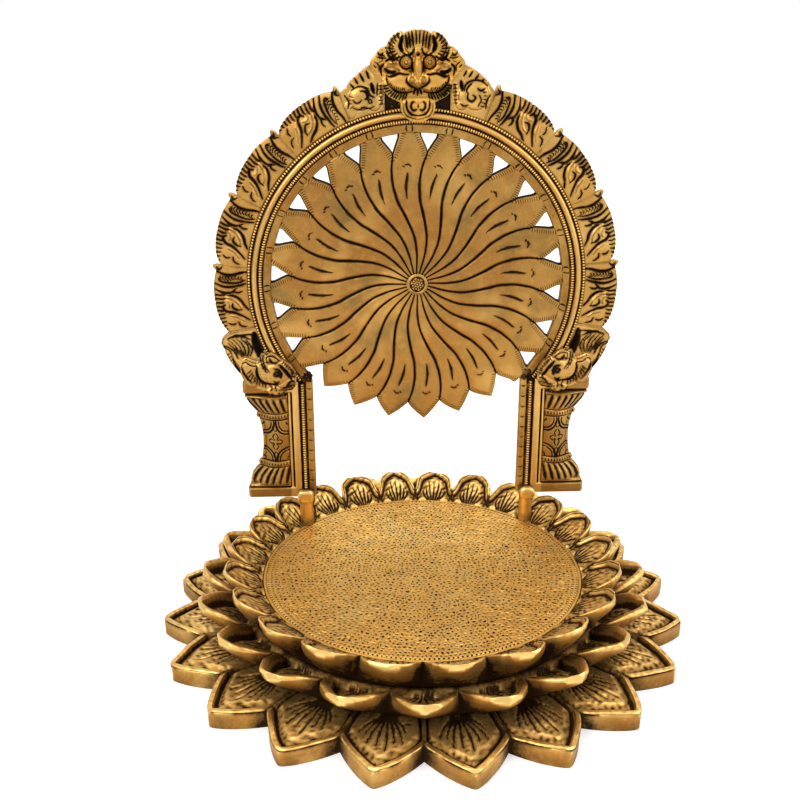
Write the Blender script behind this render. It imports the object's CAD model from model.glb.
"""A cast brass throne: a lotus base with a dimpled seat, and an openwork back with a sun disc.

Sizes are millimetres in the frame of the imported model: +Z up, the front towards -Y, and the
origin on the floor under the middle of the base. A mesh is scaled to metres as it is made.
"""

import logging
import math
from dataclasses import dataclass, field, replace
from enum import Enum
from typing import Callable, Iterable, Sequence

import bpy
import numpy as np
from mathutils import Matrix, Vector
from mathutils.geometry import delaunay_2d_cdt


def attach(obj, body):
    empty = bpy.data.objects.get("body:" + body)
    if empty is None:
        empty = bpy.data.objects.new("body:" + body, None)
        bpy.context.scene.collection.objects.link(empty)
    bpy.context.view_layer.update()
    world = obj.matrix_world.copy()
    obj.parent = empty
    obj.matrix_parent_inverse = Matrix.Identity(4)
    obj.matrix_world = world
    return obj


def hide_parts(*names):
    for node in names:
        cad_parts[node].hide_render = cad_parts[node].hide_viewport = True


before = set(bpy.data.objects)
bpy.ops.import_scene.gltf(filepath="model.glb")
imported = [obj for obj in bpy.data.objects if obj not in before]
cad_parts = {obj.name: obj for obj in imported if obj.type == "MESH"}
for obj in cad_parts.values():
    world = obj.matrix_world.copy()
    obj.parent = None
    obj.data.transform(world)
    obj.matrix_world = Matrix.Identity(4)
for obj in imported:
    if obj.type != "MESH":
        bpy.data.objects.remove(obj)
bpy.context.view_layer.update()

METRES = 0.001
LOG = logging.getLogger("throne")

# Sizes that several pieces share.
BACK_PLANE = 50.5
RING_MIDDLE = 142.0
RING_OUTSIDE = 76.2
RAYS = 24
FIRST_RAY = 12.0
POST_FOOT = 37.6
POST_HEAD = 95.9
PEG_PLACE = (54.0, 48.08)

Array = np.ndarray
Spot = tuple[float, float]


class Body(Enum):
    """The two bodies of the model."""

    BASE = "lotus_base"
    BACK = "aureole"


class Slot(Enum):
    """The record's material slots that the rebuilt pieces take."""

    WORN = "brass_worn"
    WARM = "brass_warm"


# ---------------------------------------------------------------- numbers and curves


def smooth(low: float, high: float, value: Array) -> Array:
    """Rises smoothly from 0 at low to 1 at high.

    Args:
        low: Where the rise starts.
        high: Where it ends.
        value: The values to map.

    Returns:
        Shares between 0 and 1.
    """
    share = np.clip((value - low) / (high - low), 0.0, 1.0)
    return share * share * (3.0 - 2.0 * share)


def crown(distance: Array, width: Array | float) -> Array:
    """A rounded ridge's height: 1 in the middle and 0 from its width outwards.

    Args:
        distance: Distance from the middle line.
        width: Half the ridge's width.

    Returns:
        Shares between 0 and 1.
    """
    return np.cos(np.clip(np.abs(distance) / width, 0.0, 1.0) * np.pi / 2.0) ** 2


def spline(points: Sequence[Sequence[float]], steps: int = 8, closed: bool = False) -> Array:
    """A smooth curve through points.

    Args:
        points: The points that it passes through.
        steps: Steps between two points.
        closed: Whether the end joins the start.

    Returns:
        The curve's points, one row each.
    """
    knots = np.asarray(points, float)
    count = len(knots)
    if closed:
        wrapped = np.vstack([knots[-1:], knots, knots[:2]])
        spans = count
    else:
        first = 2 * knots[0] - knots[1]
        last = 2 * knots[-1] - knots[-2]
        wrapped = np.vstack([first, knots, last])
        spans = count - 1
    share = np.linspace(0.0, 1.0, steps, endpoint=False)[:, None]
    curve = []
    for span in range(spans):
        a, b, c, d = wrapped[span:span + 4]
        curve.append(0.5 * (
            2 * b + (c - a) * share + (2 * a - 5 * b + 4 * c - d) * share**2
            + (3 * b - a - 3 * c + d) * share**3
        ))
    if not closed:
        curve.append(knots[-1:])
    return np.vstack(curve)


def nearest(spots: Array, line: Array) -> tuple[Array, Array]:
    """How far spots lie from a polyline, and where along it.

    Args:
        spots: Points in a plane, one row each.
        line: The polyline's corners, one row each.

    Returns:
        The distances, and the nearest place as a share of the polyline's corners.
    """
    best = np.full(len(spots), np.inf)
    along = np.zeros(len(spots))
    spans = len(line) - 1
    for span in range(spans):
        start, step = line[span], line[span + 1] - line[span]
        length = float(step @ step) or 1e-12
        share = np.clip(((spots - start) @ step) / length, 0.0, 1.0)
        gap = np.hypot(*(spots - start - share[:, None] * step).T)
        closer = gap < best
        best = np.where(closer, gap, best)
        along = np.where(closer, (span + share) / spans, along)
    return best, along


def wander(points: Array, size: float, seed: int) -> Array:
    """A slow unevenness, as hand work has it.

    Args:
        points: Places in millimetres.
        size: The length of its waves.
        seed: Which unevenness it is.

    Returns:
        Values that stay between about -1 and 1.
    """
    chance = np.random.default_rng(seed)
    total = np.zeros(len(points))
    for _ in range(5):
        heading = chance.normal(size=points.shape[1])
        heading *= 2 * math.pi / size / np.linalg.norm(heading)
        total += np.sin(points @ heading + chance.uniform(0, 2 * math.pi))
    return total / 3.0


def lattice(columns: int, rows: int) -> Array:
    """Faces of a tube whose points run round each of its columns.

    Args:
        columns: Columns of points.
        rows: Points in each column, whose end joins its start.

    Returns:
        Four point numbers for each face.
    """
    i, j = (part.ravel() for part in np.meshgrid(
        np.arange(columns - 1), np.arange(rows), indexing="ij"))
    j_next = (j + 1) % rows
    return np.stack([i * rows + j, (i + 1) * rows + j, (i + 1) * rows + j_next, i * rows + j_next], 1)


def nested(sides: int) -> list[list[int]]:
    """Faces of three rings of points, one inside the other, closed by a last point.

    Args:
        sides: Points in each ring.

    Returns:
        The point numbers of each face.
    """
    turn = [(k, (k + 1) % sides) for k in range(sides)]
    faces = [[ring + k, ring + n, ring + sides + n, ring + sides + k]
             for ring in (0, sides) for k, n in turn]
    return faces + [[2 * sides + k, 2 * sides + n, 3 * sides] for k, n in turn]


# ---------------------------------------------------------------- surfaces in the making


def added(name: str, data: bpy.types.ID) -> bpy.types.Object:
    """Adds an object to the scene.

    Args:
        name: Its name.
        data: Its mesh, lamp or camera.

    Returns:
        The object.
    """
    thing = bpy.data.objects.new(name, data)
    bpy.context.scene.collection.objects.link(thing)
    return thing


def gathered(items: bpy.types.bpy_prop_collection, title: str, width: int = 1,
             kind: type = float) -> Array:
    """Reads a property of many items.

    Args:
        items: The points, edges, faces or values of a mesh.
        title: The property's name.
        width: How many numbers it has.
        kind: The numbers' type.

    Returns:
        One row for each item, or one number where the width is 1.
    """
    values = np.empty(len(items) * width, kind)
    items.foreach_get(title, values)
    return values.reshape(-1, width) if width > 1 else values


def retone(layer: bpy.types.Attribute, values: Array) -> None:
    """Writes a tone's values, held between 0 and 1.

    Args:
        layer: The mesh's attribute.
        values: One for each point.
    """
    layer.data.foreach_set("value", np.clip(values, 0.0, 1.0).astype(np.float32))


def baked(thing: bpy.types.Object, modifier: bpy.types.Modifier) -> bpy.types.Mesh:
    """Gives an object the mesh that its modifier makes, and takes the modifier off.

    Args:
        thing: The object.
        modifier: Its modifier.

    Returns:
        The new mesh.
    """
    bpy.context.view_layer.update()
    graph = bpy.context.evaluated_depsgraph_get()
    mesh = bpy.data.meshes.new_from_object(
        thing.evaluated_get(graph), preserve_all_data_layers=True, depsgraph=graph)
    thing.modifiers.remove(modifier)
    thing.data = mesh
    return mesh


@dataclass
class Shell:
    """A surface in the making, with how dark and how rubbed each point is.

    Attributes:
        points: Places in millimetres, one row each.
        faces: Point numbers of each face.
        patina: How dark with age each point is, from 0 to 1.
        wear: How rubbed bright each point is, from 0 to 1.
        marks: Further values for the points, by name.
    """

    points: Array
    faces: list[list[int]]
    patina: Array
    wear: Array
    marks: dict[str, Array] = field(default_factory=dict)

    @classmethod
    def plain(cls, points: Array, faces: Iterable, patina: float = 0.1, wear: float = 0.0) -> "Shell":
        """A surface with the same tone all over.

        Args:
            points: Places in millimetres.
            faces: Point numbers of each face.
            patina: Its darkness.
            wear: Its brightness.

        Returns:
            The surface.
        """
        count = len(points)
        listed = [list(map(int, face)) for face in faces]
        return cls(np.asarray(points, float), listed, np.full(count, patina), np.full(count, wear))

    @classmethod
    def together(cls, shells: Sequence["Shell"]) -> "Shell":
        """Several surfaces as one.

        Args:
            shells: The surfaces, which share no points.

        Returns:
            One surface.
        """
        faces: list[list[int]] = []
        before = 0
        names = {name for shell in shells for name in shell.marks}
        for shell in shells:
            faces.extend([corner + before for corner in face] for face in shell.faces)
            before += len(shell.points)
        return cls(
            np.vstack([shell.points for shell in shells]),
            faces,
            np.concatenate([shell.patina for shell in shells]),
            np.concatenate([shell.wear for shell in shells]),
            {name: np.concatenate([
                shell.marks.get(name, np.zeros(len(shell.points))) for shell in shells
            ]) for name in sorted(names)},
        )

    def mirrored(self) -> "Shell":
        """The same surface on the other side of the middle plane."""
        flipped = self.points * np.array([-1.0, 1.0, 1.0])
        faces = [face[::-1] for face in self.faces]
        marks = {name: values.copy() for name, values in self.marks.items()}
        return Shell(flipped, faces, self.patina.copy(), self.wear.copy(), marks)

    def thing(self, name: str) -> bpy.types.Object:
        """Makes the surface an object of the scene.

        Args:
            name: The object's name.

        Returns:
            The object, at the origin, with its tones as attributes.
        """
        mesh = bpy.data.meshes.new(name)
        mesh.from_pydata((self.points * METRES).tolist(), [], self.faces)
        mesh.update()
        tones = {"patina": self.patina, "wear": self.wear, **self.marks}
        for title, values in tones.items():
            layer = mesh.attributes.new(title, "FLOAT", "POINT")
            layer.data.foreach_set("value", np.clip(values, -1e3, 1e3).astype(np.float32))
        mesh.shade_smooth()
        return added(name, mesh)


def swept(loops: Sequence[Array], patina: Sequence[Array], wear: Sequence[Array]) -> Shell:
    """A body through closed loops of equal count, with a flat face at both ends.

    Args:
        loops: The points of each loop.
        patina: Darkness for each point of each loop.
        wear: Brightness for each point of each loop.

    Returns:
        The body.
    """
    table = np.stack(loops)
    count, around = table.shape[:2]
    faces = lattice(count, around).tolist()
    faces.append(list(range(around)))
    faces.append([(count - 1) * around + k for k in reversed(range(around))])
    return Shell(table.reshape(-1, 3), faces, np.ravel(patina), np.ravel(wear))


def turned(profile: Sequence[Sequence[float]], facets: int) -> Shell:
    """A body of revolution about the upright axis.

    Args:
        profile: Radius, height, darkness and brightness of each level, from one end to the other.
        facets: Facets round it.

    Returns:
        The body, with its ends closed where its profile leaves the axis.
    """
    table = np.asarray(profile, float)
    angle = np.arange(facets) * 2 * math.pi / facets
    loops = [
        np.stack([radius * np.cos(angle), radius * np.sin(angle), np.full(facets, height)], 1)
        for radius, height in table[:, :2]
    ]
    return swept(loops, np.repeat(table[:, 2:3], facets, 1), np.repeat(table[:, 3:4], facets, 1))


def weather(thing: bpy.types.Object, dirt: float, rub: float, spread: int = 2) -> None:
    """Darkens hollows and brightens edges by how the surface bends.

    Args:
        thing: A mesh object with patina and wear.
        dirt: How strongly hollows darken.
        rub: How strongly edges brighten.
        spread: How many times the bend is averaged with its neighbours.
    """
    mesh = thing.data
    count = len(mesh.vertices)
    places = gathered(mesh.vertices, "co", 3)
    normals = gathered(mesh.vertices, "normal", 3)
    pairs = gathered(mesh.edges, "vertices", 2, np.int64)
    a, b = pairs.T
    step = places[b] - places[a]
    step /= np.maximum(np.linalg.norm(step, axis=1), 1e-9)[:, None]
    bend = np.zeros(count)
    np.add.at(bend, a, np.einsum("ij,ij->i", normals[a], step))
    np.add.at(bend, b, -np.einsum("ij,ij->i", normals[b], step))
    share = np.maximum(np.bincount(pairs.ravel(), minlength=count), 1)
    bend /= share
    for _ in range(spread):
        total = bend * share
        np.add.at(total, a, bend[b])
        np.add.at(total, b, bend[a])
        bend = total / (share * 2)
    for title, change in (("patina", dirt * bend), ("wear", -rub * bend)):
        layer = mesh.attributes[title]
        values = gathered(layer.data, "value", kind=np.float32)
        retone(layer, values + np.clip(change * 1.4, 0.0, 1.0))


def soiled(thing: bpy.types.Object, amount: float, low: float, high: float) -> None:
    """Adds patina that grows with the height.

    Args:
        thing: The piece.
        amount: Patina above the upper height.
        low: Height at which it starts.
        high: Height at which it is full.
    """
    layer = thing.data.attributes["patina"]
    height = gathered(thing.data.vertices, "co", 3, np.float32)[:, 2] / METRES
    values = gathered(layer.data, "value", kind=np.float32)
    retone(layer, values + amount * smooth(low, high, height))


# ---------------------------------------------------------------- carving


@dataclass(frozen=True)
class Stroke:
    """One raised line or cut of a carving.

    Attributes:
        line: Points that it passes through, as x and z.
        width: Half its width.
        lift: How far it stands up, or is cut in where it is negative.
        taper: Share of its width that its ends keep.
        dark: How dark it is.
        steps: Steps between two of its points.
    """

    line: tuple[Spot, ...]
    width: float
    lift: float
    taper: float = 0.35
    dark: float = 0.9
    steps: int = 6

    def across(self) -> "Stroke":
        """The same stroke on the other side of the middle."""
        return replace(self, line=tuple((-x, z) for x, z in self.line))


def carved(spots: Array, strokes: Sequence[Stroke]) -> tuple[Array, Array, Array]:
    """What strokes do to a surface at given spots.

    Args:
        spots: Places as x and z.
        strokes: The strokes.

    Returns:
        How far each spot is raised, how far it is cut in, and how dark it is.
    """
    raised = np.zeros(len(spots))
    cut = np.zeros(len(spots))
    dark = np.zeros(len(spots))
    for stroke in strokes:
        line = spline(stroke.line, stroke.steps) if len(stroke.line) > 1 else np.array(stroke.line * 2)
        low, high = line.min(0) - stroke.width * 1.5, line.max(0) + stroke.width * 1.5
        near = np.flatnonzero(np.all((spots >= low) & (spots <= high), 1))
        if not len(near):
            continue
        gap, along = nearest(spots[near], line)
        ends = stroke.taper + (1 - stroke.taper) * np.sin(np.pi * np.clip(along, 0, 1)) ** 0.6
        shape = crown(gap, stroke.width * ends)
        if stroke.lift > 0:
            raised[near] = np.maximum(raised[near], stroke.lift * shape)
        else:
            cut[near] = np.maximum(cut[near], -stroke.lift * shape)
            core = np.clip(1.8 * crown(gap, stroke.width * ends * 1.2), 0.0, 1.0)
            dark[near] = np.maximum(dark[near], stroke.dark * core)
    return raised, cut, dark


@dataclass
class Relief:
    """A carved plate with a flat back.

    Attributes:
        outline: Corners of its edge as x and z.
        height: How far the front stands off the back at a spot, from the spots and their
            distance to the edge.
        strokes: Lines raised on the front and cut into it.
        back: Where its back lies.
        pitch: Spacing of its points.
        rounding: Radius of its front edge.
        least: How thin the deepest cuts leave it.
    """

    outline: Array
    height: Callable[[Array, Array], Array]
    strokes: Sequence[Stroke]
    back: float = BACK_PLANE
    pitch: float = 0.42
    rounding: float = 0.7
    least: float = 0.4

    def shell(self) -> Shell:
        """Lays points over the plate, carves them and closes the plate.

        Returns:
            The surface.
        """
        rim = self._even(self.outline)
        low, high = rim.min(0), rim.max(0)
        spots = []
        for number, z in enumerate(np.arange(low[1], high[1], self.pitch * 0.866)):
            x = np.arange(low[0] + self.pitch / 2 * (number % 2), high[0], self.pitch)
            spots.append(np.stack([x, np.full(len(x), z)], 1))
        inner = np.vstack(spots)
        inner = inner[self.inside(inner, rim)]
        gap, _ = nearest(inner, np.vstack([rim, rim[:1]]))
        keep = gap > self.pitch * 0.55
        inner, gap = inner[keep], gap[keep]
        count = len(rim)
        flat = np.vstack([rim, inner])
        edges = [(k, (k + 1) % count) for k in range(count)]
        made = delaunay_2d_cdt([tuple(spot) for spot in flat.tolist()], edges, [], 1, 1e-7)
        laid = np.array([tuple(v) for v in made[0]])
        origin = [ids[0] if ids else -1 for ids in made[3]]
        gaps = np.concatenate([np.zeros(count), gap])
        to_edge = np.array([gaps[k] if k >= 0 else 0.0 for k in origin])
        raised, cut, dark = carved(laid, self.strokes)
        fall = 1 - np.clip(to_edge / self.rounding, 0.0, 1.0)
        fillet = self.rounding * (1 - np.sqrt(np.clip(1 - fall**2, 0.0, 1.0)))
        stand = self.height(laid, to_edge) + raised - cut - fillet
        front = np.stack([laid[:, 0], self.back - np.maximum(stand, self.least), laid[:, 1]], 1)
        faces = [list(face) for face in made[2]]
        place = {k: number for number, k in enumerate(origin)}
        loop = [place[k] for k in range(count)]
        behind = np.stack([rim[:, 0], np.full(count, self.back), rim[:, 1]], 1)
        first = len(front)
        for k in range(count):
            n = (k + 1) % count
            faces.append([loop[k], loop[n], first + n, first + k])
        faces.append([first + k for k in range(count)])
        patina = np.concatenate([np.maximum(dark, 0.12), np.full(count, 0.45)])
        wear = np.concatenate([np.clip(0.22 + raised * 0.4 - dark, 0, 0.8), np.zeros(count)])
        return outward(Shell(np.vstack([front, behind]), faces, patina, wear))

    def _even(self, outline: Array) -> Array:
        """The edge with points at an even spacing, anticlockwise."""
        closed = np.vstack([outline, outline[:1]])
        run = np.concatenate([[0.0], np.cumsum(np.hypot(*np.diff(closed, axis=0).T))])
        places = np.linspace(0.0, run[-1], max(int(run[-1] / self.pitch), 12), endpoint=False)
        even = np.stack([np.interp(places, run, closed[:, axis]) for axis in (0, 1)], 1)
        turn = np.roll(even, -1, 0)
        area = np.sum(even[:, 0] * turn[:, 1] - turn[:, 0] * even[:, 1])
        return even if area > 0 else even[::-1]

    @staticmethod
    def inside(spots: Array, rim: Array) -> Array:
        """Which spots lie within the edge."""
        within = np.zeros(len(spots), bool)
        x, z = spots.T
        for a, b in zip(rim, np.roll(rim, -1, 0)):
            if a[1] == b[1]:
                continue
            crosses = (a[1] > z) != (b[1] > z)
            within ^= crosses & (x < (b[0] - a[0]) * (z - a[1]) / (b[1] - a[1]) + a[0])
        return within


def outward(shell: Shell) -> Shell:
    """The surface with its faces pointing out, going by its volume.

    Args:
        shell: A closed surface whose faces agree.

    Returns:
        The same surface, turned over if need be.
    """
    volume = 0.0
    p = shell.points - shell.points.mean(0)
    for face in shell.faces:
        for k in range(1, len(face) - 1):
            volume += float(p[face[0]] @ np.cross(p[face[k]], p[face[k + 1]]))
    if volume < 0:
        shell.faces = [face[::-1] for face in shell.faces]
    return shell


def hands(right: Shell) -> list[tuple[str, float, Shell]]:
    """A piece of the right side and its mirror image.

    Args:
        right: The piece.

    Returns:
        The side's name, its sign and its surface, for the right and the left.
    """
    return [("right", 1.0, right), ("left", -1.0, outward(right.mirrored()))]


def whole_edge(half: Sequence[Spot]) -> Array:
    """An edge with its mirror image.

    Args:
        half: Its corners on the left, from the middle to the middle.

    Returns:
        All its corners.
    """
    left = np.array(half)
    return np.vstack([left, left[-2:0:-1] * np.array([-1.0, 1.0])])


def ground_plate(edge: Array, back: float, thickness: float, rounding: float) -> Shell:
    """A flat plate behind a carving, dark on its front.

    Args:
        edge: Its corners.
        back: Where its back lies.
        thickness: Its thickness.
        rounding: Radius of its front edge.

    Returns:
        The plate.
    """
    flat = Relief(edge, lambda spots, gap: np.full(len(spots), thickness), (), back,
                  pitch=0.8, rounding=rounding)
    made = flat.shell()
    made.patina[:] = np.where(made.points[:, 1] < back - 0.6, 0.93, 0.35)
    return made


# ---------------------------------------------------------------- node trees


class Number:
    """A number that changes from place to place: a socket whose arithmetic adds Math nodes."""

    def __init__(self, graph: "Graph", socket: bpy.types.NodeSocket) -> None:
        """Wraps a socket of a graph."""
        self.graph = graph
        self.socket = socket

    def __add__(self, other: "Number | float") -> "Number":
        """Sum."""
        return self.graph.math("ADD", self, other)

    __radd__ = __add__

    def __sub__(self, other: "Number | float") -> "Number":
        """Difference."""
        return self.graph.math("SUBTRACT", self, other)

    def __rsub__(self, other: float) -> "Number":
        """Difference from a plain number."""
        return self.graph.math("SUBTRACT", other, self)

    def __mul__(self, other: "Number | float") -> "Number":
        """Product."""
        return self.graph.math("MULTIPLY", self, other)

    __rmul__ = __mul__

    def __truediv__(self, other: "Number | float") -> "Number":
        """Quotient."""
        return self.graph.math("DIVIDE", self, other)

    def __rtruediv__(self, other: float) -> "Number":
        """Quotient of a plain number."""
        return self.graph.math("DIVIDE", other, self)

    def __pow__(self, other: "Number | float") -> "Number":
        """Power."""
        return self.graph.math("POWER", self, other)

    def __abs__(self) -> "Number":
        """Size without its sign."""
        return self.graph.math("ABSOLUTE", self)

    def clamped(self) -> "Number":
        """Held between 0 and 1."""
        return Number(self.graph, self.graph.node(
            "ShaderNodeClamp", {}, {0: self}).outputs[0])

    def above(self, low: float, high: float) -> "Number":
        """Rises from 0 at low to 1 at high."""
        return ((self - low) / (high - low)).clamped()


class Graph:
    """Adds nodes to one tree, for a material, the world or geometry."""

    def __init__(self, tree: bpy.types.NodeTree) -> None:
        """Takes the tree."""
        self.tree = tree

    @classmethod
    def fresh(cls, owner: bpy.types.ID) -> "Graph":
        """A material's or world's own tree, emptied."""
        owner.use_nodes = True
        owner.node_tree.nodes.clear()
        return cls(owner.node_tree)

    def node(self, kind: str, settings: dict | None = None, inputs: dict | None = None) -> bpy.types.Node:
        """Adds a node.

        Args:
            kind: The node's type.
            settings: Its properties, which are set first; stops are a ramp's places and colours.
            inputs: Values or links for its sockets, by name or number.

        Returns:
            The node.
        """
        made = self.tree.nodes.new(kind)
        for key, value in (settings or {}).items():
            if key == "stops":
                for number, (place, colour) in enumerate(value):
                    stops = made.color_ramp.elements
                    stop = stops[number] if number < 2 else stops.new(place)
                    stop.position, stop.color = place, (*colour, 1.0)
            else:
                setattr(made, key, value)
        for key, value in (inputs or {}).items():
            socket = made.inputs[key]
            source = value.socket if isinstance(value, Number) else value
            if isinstance(source, bpy.types.NodeSocket):
                self.tree.links.new(source, socket)
            else:
                socket.default_value = source
        return made

    def math(self, operation: str, *terms: "Number | float") -> Number:
        """A Math node's result.

        Args:
            operation: Which sum it does.
            terms: What it works on.

        Returns:
            The result.
        """
        made = self.node("ShaderNodeMath", {"operation": operation}, dict(enumerate(terms)))
        return Number(self, made.outputs[0])

    def vector(self, parts: dict[int, "Number | float"]) -> bpy.types.NodeSocket:
        """A vector with the given parts, 0 where none is given."""
        return self.node("ShaderNodeCombineXYZ", {}, parts).outputs[0]

    def parts(self, vector: bpy.types.NodeSocket) -> list[Number]:
        """The three parts of a vector."""
        made = self.node("ShaderNodeSeparateXYZ", {}, {0: vector})
        return [Number(self, output) for output in made.outputs]

    def vector_math(self, operation: str, inputs: dict) -> bpy.types.NodeSocket:
        """A Vector Math node's result."""
        return self.node("ShaderNodeVectorMath", {"operation": operation}, inputs).outputs[0]

    def position(self) -> bpy.types.NodeSocket:
        """Each point's place, in a geometry tree."""
        return self.node("GeometryNodeInputPosition").outputs[0]

    def index(self) -> Number:
        """Each point's number, in a geometry tree."""
        return Number(self, self.node("GeometryNodeInputIndex").outputs[0])

    def placed(self, geometry: bpy.types.NodeSocket, place: bpy.types.NodeSocket) -> bpy.types.NodeSocket:
        """Geometry with its points moved to new places."""
        return self.node("GeometryNodeSetPosition", {}, {
            "Geometry": geometry, "Position": place}).outputs[0]

    def real(self, geometry: bpy.types.NodeSocket) -> bpy.types.NodeSocket:
        """Copies made real geometry."""
        return self.node("GeometryNodeRealizeInstances", {}, {"Geometry": geometry}).outputs[0]

    def welded(self, geometry: bpy.types.NodeSocket, distance: float) -> bpy.types.NodeSocket:
        """Geometry with points merged that are nearer than a distance."""
        return self.node("GeometryNodeMergeByDistance", {}, {
            "Geometry": geometry, "Distance": distance}).outputs[0]


# ---------------------------------------------------------------- finishes

Tone = tuple[float, float, float]


def mixed(graph: Graph, share: Number, one: object, other: object) -> bpy.types.NodeSocket:
    """Mixes two colours.

    Args:
        graph: The tree that it is in.
        share: How much of the other colour there is.
        one: A colour or a colour socket.
        other: A colour or a colour socket.

    Returns:
        The mixed colour's socket.
    """
    node = graph.node("ShaderNodeMix", {"data_type": "RGBA"}, {0: share})
    for slot, colour in ((6, one), (7, other)):
        if isinstance(colour, tuple):
            node.inputs[slot].default_value = (*colour, 1.0)
        else:
            graph.tree.links.new(colour, node.inputs[slot])
    return node.outputs[2]


@dataclass(frozen=True)
class AgedBrass:
    """Antique brass: rubbed bright on its high places, brown-black in its recesses.

    Attributes:
        name: The material's name.
        bright: Tone of rubbed metal.
        body: Tone of the metal as it is mostly seen.
        warm: Redder tone of its stains.
        tarnish: Greyer tone of its clouds.
        deep: Tone of the patina.
        polish: Roughness of rubbed metal.
        dull: Roughness of the patina.
        stain: Size of the stains.
        grain: Size of the casting grain.
        relief: Height of the casting grain.
        scratch: Strength of fine scratches.
        clouds: How strongly the greyer clouds show.
        glints: How strongly the lighter clouds show.
    """

    name: str
    bright: Tone = (0.97, 0.63, 0.2)
    body: Tone = (0.56, 0.275, 0.05)
    warm: Tone = (0.42, 0.16, 0.024)
    tarnish: Tone = (0.3, 0.17, 0.042)
    deep: Tone = (0.022, 0.01, 0.004)
    polish: float = 0.27
    dull: float = 0.62
    stain: float = 7.0
    grain: float = 0.9
    relief: float = 0.035
    scratch: float = 0.5
    clouds: float = 0.55
    glints: float = 0.45

    def material(self) -> bpy.types.Material:
        """Builds the material.

        Returns:
            The material.
        """
        made = bpy.data.materials.new(self.name)
        graph = Graph.fresh(made)
        place = graph.node("ShaderNodeTexCoord").outputs["Object"]
        patina = self._mark(graph, "patina")
        wear = self._mark(graph, "wear")
        cut = self._cuts(graph)
        cloud = self._noise(graph, place, self.stain * 5, 3.0, 0.5)
        stain = self._noise(graph, place, self.stain, 5.0, 0.65)
        grain = self._noise(graph, place, self.grain, 4.0, 0.6)
        soot = patina * 1.4 + (stain - 0.5) * (patina + 0.15) * 2.2 + (grain - 0.5) * patina * 1.3
        soot = (soot.clamped() ** 1.25 + cut * 0.9).clamped()
        rubbed = (wear * 1.1 + (stain - 0.5) * 0.3).clamped() * (1.0 - soot)
        pits = self._pits(graph, place)
        haze = self._noise(graph, place, self.stain * 2.2, 4.0, 0.55)
        lines = self._scratches(graph, place)
        tone = mixed(graph, cloud.above(0.4, 0.64) * 0.85, self.body, self.warm)
        tone = mixed(graph, haze.above(0.5, 0.7) * self.clouds, tone, self.tarnish)
        sheen = self._noise(graph, place, self.stain * 3.1, 2.0, 0.4)
        tone = mixed(graph, sheen.above(0.52, 0.68) * self.glints, tone, self.bright)
        tone = mixed(graph, lines.above(0.5, 0.75) * 0.3, tone, self.bright)
        tone = mixed(graph, rubbed, tone, self.bright)
        tone = mixed(graph, (soot + pits * 0.7).clamped(), tone, self.deep)
        rough = self.polish + (1.0 - rubbed) * 0.1 + soot * (self.dull - self.polish) + stain * 0.08
        rough = rough - sheen.above(0.5, 0.7) * 0.07
        height = grain * self.relief + lines * (self.scratch * 0.012) - pits * 0.03 - cut * 0.16
        bump = graph.node("ShaderNodeBump", {}, {"Strength": 1.0, "Distance": METRES, "Height": height})
        shader = graph.node("ShaderNodeBsdfPrincipled", {}, {
            "Base Color": tone, "Roughness": (rough + lines * 0.06).clamped(),
            "Metallic": 1.0 - soot * 0.55, "Normal": bump.outputs[0], "Specular IOR Level": 0.12,
        })
        graph.node("ShaderNodeOutputMaterial", {}, {"Surface": shader.outputs[0]})
        return made

    def _mark(self, graph: Graph, title: str) -> Number:
        """A value that the mesh carries."""
        node = graph.node("ShaderNodeAttribute", {"attribute_type": "GEOMETRY", "attribute_name": title})
        return Number(graph, node.outputs["Fac"])

    def _noise(self, graph: Graph, place: bpy.types.NodeSocket, size: float, detail: float,
               rough: float) -> Number:
        """Cloudy noise with features of a size in millimetres."""
        node = graph.node("ShaderNodeTexNoise", {"noise_dimensions": "3D"}, {
            "Vector": place, "Scale": 1.0 / (size * METRES), "Detail": detail, "Roughness": rough,
        })
        return Number(graph, node.outputs[0])

    def _pits(self, graph: Graph, place: bpy.types.NodeSocket) -> Number:
        """Sparse pinholes of the casting."""
        node = graph.node("ShaderNodeTexVoronoi", {"feature": "F1"}, {
            "Vector": place, "Scale": 1.0 / (3.1 * METRES), "Randomness": 1.0,
        })
        return 1.0 - Number(graph, node.outputs["Distance"]).above(0.035, 0.085)

    def _scratches(self, graph: Graph, place: bpy.types.NodeSocket) -> Number:
        """Fine lines left by rubbing."""
        laid = graph.node("ShaderNodeMapping", {}, {
            "Vector": place, "Rotation": (0.2, 0.5, 0.35), "Scale": (260.0, 3400.0, 260.0),
        })
        node = graph.node("ShaderNodeTexNoise", {}, {
            "Vector": laid.outputs[0], "Scale": 1.0, "Detail": 3.0, "Roughness": 0.7,
        })
        return Number(graph, node.outputs[0])

    def _cuts(self, graph: Graph) -> Number | float:
        """Cuts that the finish itself draws: none on plain pieces."""
        return 0.0


@dataclass(frozen=True)
class HatchedBrass(AgedBrass):
    """Brass with short graver strokes along the piece's edges.

    Attributes:
        stroke_pitch: Spacing of the strokes along the edge.
        stroke_length: How far they reach in from the edge.
    """

    stroke_pitch: float = 0.98
    stroke_length: float = 2.5

    def _cuts(self, graph: Graph) -> Number | float:
        """The graver strokes."""
        run = self._mark(graph, "edge_run")
        gap = self._mark(graph, "edge_gap")
        slanted = run / self.stroke_pitch + gap * gap * 0.16
        phase = graph.math("FRACT", slanted)
        line = 1.0 - abs(phase - 0.5).above(0.06, 0.26)
        reach = 1.0 - gap.above(self.stroke_length * 0.7, self.stroke_length)
        return line * reach * gap.above(0.1, 0.5) * 0.8


# ---------------------------------------------------------------- repeated pieces


class Input(Enum):
    """Kinds of input of a geometry tree."""

    OBJECT = "NodeSocketObject"
    MATERIAL = "NodeSocketMaterial"
    NUMBER = "NodeSocketFloat"
    COUNT = "NodeSocketInt"


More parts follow.
